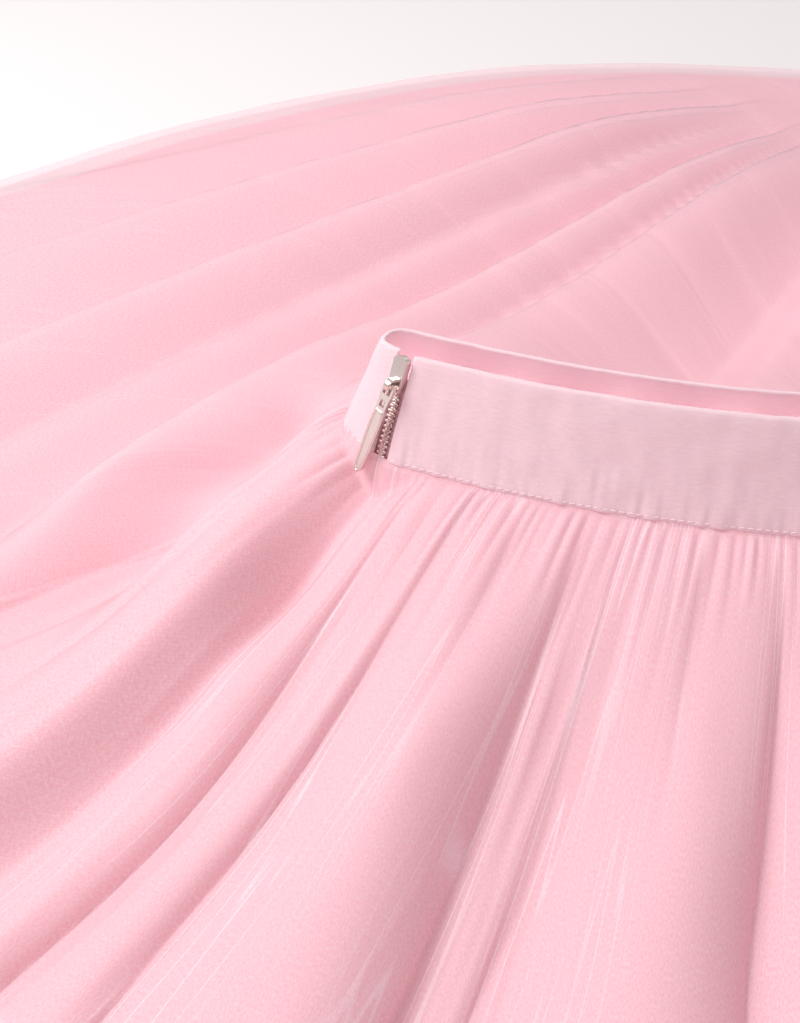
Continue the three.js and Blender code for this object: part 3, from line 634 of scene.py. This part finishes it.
def streaks(material, across, along):
    """Noise drawn out along the cloth, with so many cells to the metre each way."""
    uv = add_node(material, "ShaderNodeUVMap", uv_map="cloth")
    scale = add_node(material, "ShaderNodeMapping")
    scale.inputs["Scale"].default_value = (across, along, 1.0)
    grain = add_node(material, "ShaderNodeTexNoise")
    grain.inputs["Scale"].default_value = 1.0
    grain.inputs["Detail"].default_value = 0.0
    material.node_tree.links.new(uv.outputs[0], scale.inputs["Vector"])
    material.node_tree.links.new(scale.outputs[0], grain.inputs["Vector"])
    return grain.outputs["Fac"]


def hairlines(material, across, along, width):
    """Thin broken lines along the cloth, where folded net shows as a denser edge."""
    grain = streaks(material, across, along)
    middle = math_node(material, "ABSOLUTE", math_node(material, "SUBTRACT", grain, NOISE_MIDDLE))
    line = add_node(material, "ShaderNodeMapRange", interpolation_type="SMOOTHSTEP")
    line.inputs["From Max"].default_value = width
    line.inputs["To Min"].default_value = 1.0
    line.inputs["To Max"].default_value = 0.0
    material.node_tree.links.new(middle, line.inputs["Value"])
    return line.outputs[0]


# Looks of the cloths and the metal: patterns in lines to the metre, weights in shares of the colour mix
NET = {
    "pitch": 0.001,
    "slant": 0.6,
    "threads": 0.2,
    "hairlines": {"across": 150.0, "along": 9.0, "width": 0.05},
    "hair_density": 0.35,
    "grain": {"across": 1300.0, "along": 800.0},
    "grain_weight": 1.3,
    "shift": 0.35,
    "rough": 0.9,
    "sheen": 1.0,
    "sheen_rough": 0.3,
    "sheen_tint": linear(255, 238, 242),
    "gloss": 0.15,
    "glow": linear(252, 188, 199),
    "glow_strength": 0.085,
}
NET_COLOURS = {
    "net": (linear(244, 200, 210), linear(250, 234, 240)),
    "lower": (linear(241, 180, 192), linear(246, 201, 211)),
}
BAND = {
    "low": linear(242, 206, 215),
    "high": linear(253, 227, 234),
    "rough": 0.6,
    "twill": 900.0,
    "twill_weight": 0.7,
    "weft": 1500.0,
    "weft_weight": 0.3,
    "weave": 0.18,
    "crepe": {"across": 320.0, "along": 1100.0},
    "crepe_weight": 0.5,
    "shift": 0.25,
    "sheen": 0.3,
    "sheen_tint": linear(255, 236, 240),
    "bump": {"strength": 0.3, "distance": 0.00025},
}
THREAD = {"colour": linear(252, 224, 231), "rough": 0.6, "sheen": 0.3}
TAPE = {"colour": linear(250, 200, 211), "rough": 0.8, "ribs": 1600.0}
TAPE_BUMP = {"strength": 0.4, "distance": 0.0002}
METAL = {"colour": linear(236, 226, 221), "rough": 0.2, "least": 0.16, "most": 0.36}
METAL_GRAIN = {"Scale": 900.0, "Detail": 4.0}
METAL_BUMP = {"strength": 0.05, "distance": 0.0001}


def tulle_material(name, layer, alpha, hair_weight):
    """Fine soft net: crossing threads and grain, paler and denser along hairlines where it lies doubled."""
    low, high = NET_COLOURS[layer]
    material, shader = new_material(name, high, NET["rough"])
    links = material.node_tree.links
    lines = 1.0 / NET["pitch"]
    one = stripes(material, lines, NET["slant"] * lines)
    other = stripes(material, lines, -NET["slant"] * lines)
    threads = math_node(material, "MULTIPLY", math_node(material, "MAXIMUM", one, other), NET["threads"])
    doubled = add_node(material, "ShaderNodeAttribute", attribute_name="doubled")
    hair = math_node(material, "MULTIPLY", hairlines(material, **NET["hairlines"]), doubled.outputs["Fac"])
    hair = math_node(material, "MULTIPLY", hair, hair_weight)
    grain = math_node(material, "MULTIPLY", streaks(material, **NET["grain"]), NET["grain_weight"])
    factor = math_node(material, "ADD", math_node(material, "ADD", threads, hair), grain)
    factor = math_node(material, "SUBTRACT", factor, NET["shift"])
    links.new(colour_mix(material, factor, low, high), shader.inputs["Base Color"])
    shader.inputs["Sheen Weight"].default_value = NET["sheen"]
    shader.inputs["Sheen Roughness"].default_value = NET["sheen_rough"]
    set_colour(shader, "Sheen Tint", NET["sheen_tint"])
    shader.inputs["Specular IOR Level"].default_value = NET["gloss"]
    shader.inputs["Alpha"].default_value = alpha
    if alpha < 1.0:
        denser = math_node(material, "MULTIPLY", hair, NET["hair_density"])
        links.new(math_node(material, "ADD", denser, alpha), shader.inputs["Alpha"])
    # A faint glow stands in for the light that passes from layer to layer
    set_colour(shader, "Emission Color", NET["glow"])
    shader.inputs["Emission Strength"].default_value = NET["glow_strength"]
    return material


def band_material():
    """Fine crepe twill with a soft sheen."""
    material, shader = new_material("waistband_cloth", BAND["high"], BAND["rough"])
    twill = stripes(material, BAND["twill"], BAND["twill"])
    twill = math_node(material, "MULTIPLY", twill, BAND["twill_weight"])
    weft = math_node(material, "MULTIPLY", stripes(material, 0.0, BAND["weft"]), BAND["weft_weight"])
    weave = math_node(material, "MULTIPLY", math_node(material, "ADD", twill, weft), BAND["weave"])
    crepe = math_node(material, "MULTIPLY", streaks(material, **BAND["crepe"]), BAND["crepe_weight"])
    weave = math_node(material, "ADD", weave, crepe)
    factor = math_node(material, "ADD", weave, BAND["shift"])
    colour = colour_mix(material, factor, BAND["low"], BAND["high"])
    material.node_tree.links.new(colour, shader.inputs["Base Color"])
    shader.inputs["Sheen Weight"].default_value = BAND["sheen"]
    set_colour(shader, "Sheen Tint", BAND["sheen_tint"])
    bump(material, shader, weave, **BAND["bump"])
    return material


def thread_material():
    material, shader = new_material("sewing_thread", THREAD["colour"], THREAD["rough"])
    shader.inputs["Sheen Weight"].default_value = THREAD["sheen"]
    return material


def tape_material():
    material, shader = new_material("zip_tape", TAPE["colour"], TAPE["rough"])
    bump(material, shader, stripes(material, 0.0, TAPE["ribs"]), **TAPE_BUMP)
    return material


def metal_material():
    """Polished nickel with a faint warm tint and small scratches."""
    material, shader = new_material("zip_metal", METAL["colour"], METAL["rough"], 1.0)
    grain = add_node(material, "ShaderNodeTexNoise")
    for socket, value in METAL_GRAIN.items():
        grain.inputs[socket].default_value = value
    rough = add_node(material, "ShaderNodeMapRange")
    rough.inputs["To Min"].default_value = METAL["least"]
    rough.inputs["To Max"].default_value = METAL["most"]
    material.node_tree.links.new(grain.outputs["Fac"], rough.inputs["Value"])
    material.node_tree.links.new(rough.outputs[0], shader.inputs["Roughness"])
    bump(material, shader, grain.outputs["Fac"], **METAL_BUMP)
    return material


# The tulle panels: sheer net over a denser layer
GRID_COLUMNS = {
    "net": {"tulle_front": 640, "tulle_back_right": 420, "tulle_back_left": 560},
    "lower": {"tulle_front": 420, "tulle_back_right": 300, "tulle_back_left": 400},
}
GRID_ROWS = {"net": 150, "lower": 110}
LAYER_REACH = {"net": 1.0, "lower": 0.965}
TUCK = {"in": 1.1, "up": 1.2}
COLUMN_SAMPLES = 2000
COLUMNS_BY_FOLD = 0.5
ROW_POWER = 1.7
FLOOR_CLEAR = 0.6

# Where the net lies doubled and shows more hairlines: beside the folds' valleys, in patches
DOUBLED = {"power": 3, "along": 60.0, "to_a_fold": 5.0, "patches": (-0.5, 0.4), "seed": 31}


def panel_sheet(name, layer):
    """One layer of a panel as an open sheet, tucked into the band at its top."""
    columns = GRID_COLUMNS[layer][name]
    rows = GRID_ROWS[layer]
    samples = np.linspace(0.0, 1.0, COLUMN_SAMPLES)
    by_fold = fold_turns(name, samples) / PANELS[name]["folds"]
    blend = (1 - COLUMNS_BY_FOLD) * samples + COLUMNS_BY_FOLD * by_fold
    share = np.interp(np.linspace(0.0, 1.0, columns), blend, samples)[None, :]
    along = (LAYER_REACH[layer] * np.linspace(0.0, 1.0, rows) ** ROW_POWER)[:, None]
    x, y = panel_plan(name, share, along)
    z = plain_height(x, y, along) + fold_height(name, share, along, x, y)
    z = z + fine_height(name, share, along, layer) - layer_sink(name, share, along, layer)
    z = np.maximum(z, FLOOR_CLEAR)
    start, length = PANEL_STARTS[name]
    tuck_x, tuck_y = waist_point(start + share * length, SEAM_OFFSET - TUCK["in"])
    x = np.concatenate([tuck_x, x])
    y = np.concatenate([tuck_y, y])
    z = np.concatenate([np.full_like(tuck_x, SEAM_HEIGHT + TUCK["up"]), z])
    width = (length + np.hypot(np.diff(x[-1]), np.diff(y[-1])).sum()) / 2
    down = np.concatenate([[[-TUCK["in"]]], along * NET_LENGTH])
    uvs = np.stack(np.broadcast_arrays(share * width * MM, down * MM), -1).reshape(-1, 2)
    points = np.stack([x, y, z], -1).reshape(-1, 3)
    sheet = add_object(name + "_" + layer, points, grid_faces(rows + 1, columns), uvs)
    turns = fold_turns(name, share)
    patches = noise2(down / DOUBLED["along"], turns * DOUBLED["to_a_fold"], DOUBLED["seed"])
    doubled = (1 - lobe(turns) ** DOUBLED["power"]) * ramp(patches, *DOUBLED["patches"])
    attribute = sheet.data.attributes.new("doubled", "FLOAT", "POINT")
    attribute.data.foreach_set("value", doubled.astype(np.float32).ravel())
    return sheet


# The waistband, tapes and stitches, all from the same wall. Puckers are small waves across the cloth.
HALVINGS = 30
SECTION = {"rise": 16, "corners": 7}
END_CROWDING = 0.35
THIN_END = 0.08
DIAGONAL_PUCKER = {"size": 0.55, "along": (0.16, 0.1), "across": (0.12, 0.05), "seed": 71}
RIPPLE_PUCKER = {"size": 0.6, "along": 0.45, "up": 0.06, "reach": 12.0, "seed": 72}


def band_offset(up, depth):
    return SEAM_OFFSET - up * math.sin(BAND_LEAN) - depth / math.cos(BAND_LEAN)


def band_points(along, up, depth):
    x, y = waist_point(along, band_offset(up, depth))
    z = SEAM_HEIGHT + up * math.cos(BAND_LEAN)
    return np.stack(np.broadcast_arrays(x, y, z), -1)


def beside_zip(distance, offset):
    """How far round the seam a wall comes to stand so far to the side of the zip's middle."""
    middle_x, middle_y = waist_point(np.array(0.0), 0.0)
    sign = 1.0 if distance > 0 else -1.0
    near = np.zeros_like(offset)
    far = np.full_like(offset, sign * SEAM_OFFSET)
    for _ in range(HALVINGS):
        along = (near + far) / 2
        x, y = waist_point(along, offset)
        away = (y - middle_y) * math.cos(ZIP_HEADING) - (x - middle_x) * math.sin(ZIP_HEADING)
        inside = np.abs(away) < abs(distance)
        near = np.where(inside, along, near)
        far = np.where(inside, far, along)
    return near


def band_section(height, wall):
    """Points round a wall's cross-section as (up, depth) pairs, with rounded edges."""
    radius = wall / 2
    steps = np.linspace(0.0, math.pi, SECTION["corners"])
    top = [(height - radius + radius * math.sin(t), radius - radius * math.cos(t)) for t in steps]
    bottom = [(radius - radius * math.sin(t), radius + radius * math.cos(t)) for t in steps]
    rise = np.linspace(radius, height - radius, SECTION["rise"])[1:-1]
    outer = [(up, 0.0) for up in rise]
    inner = [(up, wall) for up in rise[::-1]]
    return np.array(outer + top + inner + bottom)


def band_wall(piece, start, end, columns, low, high, outer, wall, pucker):
    """A closed strip of cloth round part of the waist; start and end depend on where the wall stands."""
    section = band_section(high - low, wall)
    up = low + section[:, 0][:, None]
    depth = outer + section[:, 1][:, None]
    offset = band_offset(up, depth)
    share = np.linspace(0.0, 1.0, columns)
    crowded = 1.0 - END_CROWDING * np.sin(math.pi * share) ** 2
    share = 0.5 - 0.5 * np.cos(math.pi * share) * crowded
    along = start(offset) * (1 - share) + end(offset) * share
    span = end(offset) - start(offset)
    near_end = np.minimum(share, 1 - share) * span
    from_end = 1.0 - np.clip(near_end / (wall / 2), 0.0, 1.0)
    round_off = np.sqrt(np.clip(1.0 - from_end**2, 0.0, 1.0))
    middle = outer + wall / 2
    depth = middle + (depth - middle) * np.maximum(round_off, THIN_END)
    with_along, with_up = DIAGONAL_PUCKER["along"]
    across_up, across_along = DIAGONAL_PUCKER["across"]
    diagonal = noise2(
        along * with_along + up * with_up, up * across_up - along * across_along, DIAGONAL_PUCKER["seed"]
    )
    ripple = noise2(along * RIPPLE_PUCKER["along"], up * RIPPLE_PUCKER["up"], RIPPLE_PUCKER["seed"])
    ripple = ripple * np.exp(-(((up - low) / RIPPLE_PUCKER["reach"]) ** 2))
    depth = depth - pucker * (DIAGONAL_PUCKER["size"] * diagonal + RIPPLE_PUCKER["size"] * ripple)
    points = band_points(along, up, depth)
    rows = len(section)
    faces = grid_faces(rows, columns, closed=True)
    faces.append([i * columns for i in range(rows)])
    faces.append([i * columns + columns - 1 for i in reversed(range(rows))])
    uvs = np.stack([along * MM, (up + depth) * MM], -1).reshape(-1, 2)
    return add_object(piece, points.reshape(-1, 3), faces, uvs)


STITCH = {"pitch": 2.8, "length": 2.0, "radius": 0.25, "up": 2.0, "ends_clear": 1.5}
STITCH_SHAPE = {"sides": 6, "rings": 7, "thin": 0.25, "taper": 0.7, "lift": 0.06, "flatten": 0.8}


def stitch_row(piece, start, end):
    """A row of short raised stitches along the lower edge of the band."""
    count = int((end - start) / STITCH["pitch"])
    sides = STITCH_SHAPE["sides"]
    rings = np.linspace(0.0, math.pi, STITCH_SHAPE["rings"])
    points = []
    faces = []
    for k in range(count):
        middle = start + (k + 0.5) * STITCH["pitch"]
        first = len(points)
        for ring in rings:
            along = np.array(middle - STITCH["length"] / 2 * math.cos(ring))
            size = STITCH["radius"] * max(STITCH_SHAPE["thin"], math.sin(ring)) ** STITCH_SHAPE["taper"]
            for side in range(sides):
                turn = 2 * math.pi * side / sides
                up = STITCH["up"] + size * math.cos(turn)
                out = STITCH_SHAPE["lift"] + STITCH_SHAPE["flatten"] * size * math.sin(turn)
                points.append(band_points(along, up, -out).tolist())
        for a in range(len(rings) - 1):
            for side in range(sides):
                b = (side + 1) % sides
                low = first + a * sides
                faces.append((low + side, low + b, low + sides + b, low + sides + side))
    return add_object(piece, points, faces)


# The zip's own axes: X along the waist, Y up the band, Z out of it
def zip_axes():
    out = Vector((math.cos(ZIP_HEADING), math.sin(ZIP_HEADING), 0.0))
    up = -math.sin(BAND_LEAN) * out + Vector((0, 0, math.cos(BAND_LEAN)))
    normal = math.cos(BAND_LEAN) * out + Vector((0, 0, math.sin(BAND_LEAN)))
    along = up.cross(normal)
    turn = Matrix((along, up, normal)).transposed().to_4x4()
    origin = Vector(band_points(np.array(0.0), 0.0, 0.0).tolist())
    return Matrix.Translation(origin) @ turn


TOOTH = {"length": 2.9, "height": 0.92, "wall": 1.3, "aside": 0.45, "out": -0.6}
CHAIN = {"step": 1.0, "first": 0.6, "top": 25.2}
TOOTH_BEVEL = {"offset": 0.22, "segments": 2, "profile": 0.6}


def zip_teeth(piece):
    """The closed chain: bevelled teeth that come in turn from both sides."""
    place = zip_axes()
    built = bmesh.new()
    scale = Matrix.Diagonal((TOOTH["length"], TOOTH["height"], TOOTH["wall"], 1.0))
    count = int(CHAIN["top"] / CHAIN["step"])
    for k in range(count):
        side = 1 if k % 2 else -1
        up = CHAIN["first"] + k * CHAIN["step"]
        middle = Vector((side * TOOTH["aside"], up, TOOTH["out"] - TOOTH["wall"] / 2))
        bmesh.ops.create_cube(built, size=1.0, matrix=place @ Matrix.Translation(middle) @ scale)
    bmesh.ops.bevel(built, geom=built.edges[:], affect="EDGES", **TOOTH_BEVEL)
    bmesh.ops.scale(built, vec=(MM, MM, MM), verts=built.verts)
    mesh = bpy.data.meshes.new(piece)
    built.to_mesh(mesh)
    built.free()
    mesh.polygons.foreach_set("use_smooth", np.ones(len(mesh.polygons), dtype=bool))
    obj = bpy.data.objects.new(piece, mesh)
    bpy.context.scene.collection.objects.link(obj)
    return obj


# Where the pull hangs on the zip's axes, its outline, and the rim on its face
PULL_PLACE = {"up": 28.9, "out": 3.5, "tilt": math.radians(1.5), "lean": math.radians(9), "wall": 1.5}
PULL_SIDE = ((2.1, -9.5), (2.8, -13.0), (2.8, -18.0), (1.9, -33.6))
PULL_TIP = ((1.9, -33.6), (1.3, -36.0), (0.0, -36.0))
RIM = {"top": -10.4, "inset": 0.75, "radius": 0.42, "sides": 10, "steps": 24}


def curve(points, steps):
    """Points along a Bezier curve of any degree."""
    t = np.linspace(0.0, 1.0, steps)[:, None]
    degree = len(points) - 1
    weights = [math.comb(degree, k) * t**k * (1 - t) ** (degree - k) for k in range(degree + 1)]
    return sum(weight * np.array(point, dtype=float) for weight, point in zip(weights, points))


def pull_rim(piece):
    """The rim on the face of the pull: a rounded bead just inside the drop's outline."""
    side = curve(PULL_SIDE, RIM["steps"])
    tip = curve(PULL_TIP, RIM["steps"] // 2)[1:]
    lowest = PULL_TIP[-1][1]
    half = np.concatenate([side, tip])
    half[:, 0] = np.maximum(half[:, 0] - RIM["inset"], 0.0)
    half[:, 1] = np.clip(half[:, 1], lowest + RIM["inset"], RIM["top"])
    path = np.concatenate([half, half[-2::-1] * (-1.0, 1.0)])
    # Points that fell together at the tip have no direction, so only one of them stays
    path = path[np.any(path != np.roll(path, 1, axis=0), axis=1)]
    ahead = np.roll(path, -1, axis=0) - np.roll(path, 1, axis=0)
    ahead = ahead / np.linalg.norm(ahead, axis=1)[:, None]
    turn = np.linspace(0.0, 2 * math.pi, RIM["sides"], endpoint=False)
    across = RIM["radius"] * np.cos(turn)[None, :]
    x = path[:, 0][:, None] - ahead[:, 1][:, None] * across
    y = path[:, 1][:, None] + ahead[:, 0][:, None] * across
    z = np.broadcast_to(PULL_PLACE["wall"] / 2 + RIM["radius"] * np.sin(turn)[None, :], x.shape)
    faces = []
    for i in range(len(path)):
        for j in range(RIM["sides"]):
            corners = ((i, j), (i + 1, j), (i + 1, j + 1), (i, j + 1))
            faces.append(tuple((a % len(path)) * RIM["sides"] + b % RIM["sides"] for a, b in corners))
    place = zip_axes() @ Matrix.Translation((0.0, PULL_PLACE["up"], PULL_PLACE["out"]))
    tilt = Matrix.Rotation(PULL_PLACE["tilt"], 4, "X")
    lean = Matrix.Rotation(-PULL_PLACE["lean"], 4, "Z")
    place = place @ tilt @ lean
    points = [list(place @ Vector(point)) for point in np.stack([x, y, z], -1).reshape(-1, 3).tolist()]
    return add_object(piece, points, faces)


METAL_EDGES = {"zip_slider": 0.35, "zip_pull": 0.5}
EDGE_SEGMENTS = 3
EDGE_ANGLE = math.radians(35)


def bevel_metal(node, width):
    """Rounds the edges of a carried-over metal node and takes its plain material off."""
    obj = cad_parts[node]
    bevel = obj.modifiers.new("edge", "BEVEL")
    bevel.width = width * MM
    bevel.segments = EDGE_SEGMENTS
    bevel.limit_method = "ANGLE"
    bevel.angle_limit = EDGE_ANGLE
    obj.data.materials.clear()
    return obj


# Build the cloth and the zip
NET_ALPHA = 0.6
HAIR_WEIGHT = {"front": 0.45, "lower": 0.3, "back": 0.08}
BAND_COLUMNS = {"front": 560, "back": 640}
BAND_PUCKER = 0.5
TAPE_STRIP = {"reach": 7.5, "low": -7.0, "high": 30.0, "wall": 0.8, "columns": 24}

# Flat cut that shows, in metres
BAND_CUT = {"front": 0.335, "back": 0.41, "height": 0.042}

cloth_material = band_material()
thread = thread_material()
tape = tape_material()
metal = metal_material()
TULLE = {
    "net": tulle_material("tulle_net", "net", NET_ALPHA, HAIR_WEIGHT["front"]),
    "lower": tulle_material("tulle_under_layers", "lower", 1.0, HAIR_WEIGHT["lower"]),
}
calm_net = tulle_material("tulle_net_back", "net", NET_ALPHA, HAIR_WEIGHT["back"])

for panel in PANELS:
    for layer in LAYERS:
        sheet = panel_sheet(panel, layer)
        look = calm_net if layer == "net" and panel != "tulle_front" else TULLE[layer]
        finish_piece(sheet, look, "skirt")
        length = CUT_LENGTH[layer]
        if layer == "net":
            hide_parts(panel)
        elif panel == "tulle_front":
            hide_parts("tulle_under")

half_slit = SLIT_WIDTH / 2
front_band = band_wall(
    "waistband_front_cloth",
    lambda offset: beside_zip(half_slit, offset),
    lambda offset: np.full_like(offset, FRONT_LENGTH - SEAM_GAP / 2),
    BAND_COLUMNS["front"], SEAM_GAP, BAND_HEIGHT, 0.0, BAND_WALL, BAND_PUCKER,
)
back_band = band_wall(
    "waistband_back_cloth",
    lambda offset: np.full_like(offset, FRONT_LENGTH + SEAM_GAP / 2),
    lambda offset: WAIST_LENGTH + beside_zip(-half_slit, offset),
    BAND_COLUMNS["back"], SEAM_GAP, BAND_HEIGHT, 0.0, BAND_WALL, BAND_PUCKER,
)
for obj, node, length in (
    (front_band, "waistband_front", BAND_CUT["front"]),
    (back_band, "waistband_back", BAND_CUT["back"]),
):
    finish_piece(obj, cloth_material, "skirt")
    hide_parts(node)
for name, start, end in (
    ("stitches_front", half_slit, FRONT_LENGTH),
    ("stitches_back", FRONT_LENGTH, WAIST_LENGTH - half_slit),
):
    row = stitch_row(name, start + STITCH["ends_clear"], end - STITCH["ends_clear"])
    finish_piece(row, thread, "skirt")

tape_depth = BAND_WALL + SEAM_GAP
for name, near, far in (
    ("zip_tape_front", SEAM_GAP / 2, TAPE_STRIP["reach"]),
    ("zip_tape_back", -TAPE_STRIP["reach"], -SEAM_GAP / 2),
):
    strip = band_wall(
        name + "_cloth",
        lambda offset, d=near: beside_zip(d, offset),
        lambda offset, d=far: beside_zip(d, offset),
        TAPE_STRIP["columns"], TAPE_STRIP["low"], TAPE_STRIP["high"], tape_depth, TAPE_STRIP["wall"], 0.0,
    )
    finish_piece(strip, tape, "skirt")
    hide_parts(name)

teeth = zip_teeth("zip_teeth")
finish_piece(teeth, metal, "skirt")
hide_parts("zip_chain")
rim = pull_rim("zip_pull_rim")
finish_piece(rim, metal, "zip_pull")
for node, width in METAL_EDGES.items():
    bevel_metal(node, width).data.materials.append(metal)

# Floor, light and camera
FLOOR = {"size": 12.0, "height": -0.0005, "colour": (0.92, 0.9, 0.9), "rough": 0.9}
SKY = {"colour": (1.0, 0.93, 0.94), "strength": 0.45}
LIGHT_AIM = (-0.1, 0.0, 0.1)

# Daylight that comes through the cloth into the waist, as a row of faint lamps inside it
GLOW = {"count": 9, "height": 0.114, "power": 0.0075, "radius": 0.004, "colour": (1.0, 0.86, 0.88)}

# The photo's viewpoint
CAMERA_TARGET = Vector((-0.15244, -0.00174, 0.095))
CAMERA_AZIMUTH = math.radians(-4.3)
CAMERA_ELEVATION = math.radians(40.1)
CAMERA_DISTANCE = 0.493
CAMERA_LENS = 49.9
CAMERA_SENSOR = 36.0
CAMERA_NEAREST = 0.01

floor_material, _ = new_material("floor", FLOOR["colour"], FLOOR["rough"])
bpy.ops.mesh.primitive_plane_add(size=FLOOR["size"], location=(0, 0, FLOOR["height"]))
floor = bpy.context.object
floor.name = "floor"
floor.data.materials.append(floor_material)

world = bpy.data.worlds.new("studio")
bpy.context.scene.world = world
world.use_nodes = True
sky = world.node_tree.nodes["Background"]
set_colour(sky, "Color", SKY["colour"])
sky.inputs["Strength"].default_value = SKY["strength"]


def area_light(name, place, aim, size, power, colour):
    light = bpy.data.lights.new(name, "AREA")
    light.shape = "DISK"
    light.size = size
    light.energy = power
    light.color = colour
    obj = bpy.data.objects.new(name, light)
    obj.location = place
    obj.rotation_euler = (Vector(aim) - Vector(place)).to_track_quat("-Z", "Y").to_euler()
    bpy.context.scene.collection.objects.link(obj)


area_light("key", (-1.15, 0.12, 1.3), LIGHT_AIM, size=0.8, power=18.5, colour=(1.0, 0.98, 0.97))
area_light("fill", (-1.1, -1.2, 1.1), LIGHT_AIM, size=1.2, power=5.0, colour=(1.0, 0.97, 0.96))
area_light("back", (0.35, 1.4, 1.2), (0.0, 0.15, 0.1), size=1.0, power=3.5, colour=(1.0, 0.98, 0.97))

for turn in np.linspace(-LEFT_ANGLE, HALF, GLOW["count"]):
    lamp = bpy.data.lights.new("waist_glow", "POINT")
    lamp.energy = GLOW["power"]
    lamp.shadow_soft_size = GLOW["radius"]
    lamp.color = GLOW["colour"]
    lamp_object = bpy.data.objects.new("waist_glow", lamp)
    lamp_x, lamp_y = spine_point(turn)
    lamp_object.location = (lamp_x * MM, lamp_y * MM, GLOW["height"])
    bpy.context.scene.collection.objects.link(lamp_object)

camera_data = bpy.data.cameras.new("camera")
camera_data.lens = CAMERA_LENS
camera_data.sensor_width = CAMERA_SENSOR
camera_data.clip_start = CAMERA_NEAREST
camera = bpy.data.objects.new("camera", camera_data)
sight = Vector(
    (
        math.sin(CAMERA_AZIMUTH) * math.cos(CAMERA_ELEVATION),
        math.cos(CAMERA_AZIMUTH) * math.cos(CAMERA_ELEVATION),
        -math.sin(CAMERA_ELEVATION),
    )
)
camera.location = CAMERA_TARGET - CAMERA_DISTANCE * sight
camera.rotation_euler = sight.to_track_quat("-Z", "Y").to_euler()
bpy.context.scene.collection.objects.link(camera)
bpy.context.scene.camera = camera
bpy.context.scene.view_settings.view_transform = "Standard"
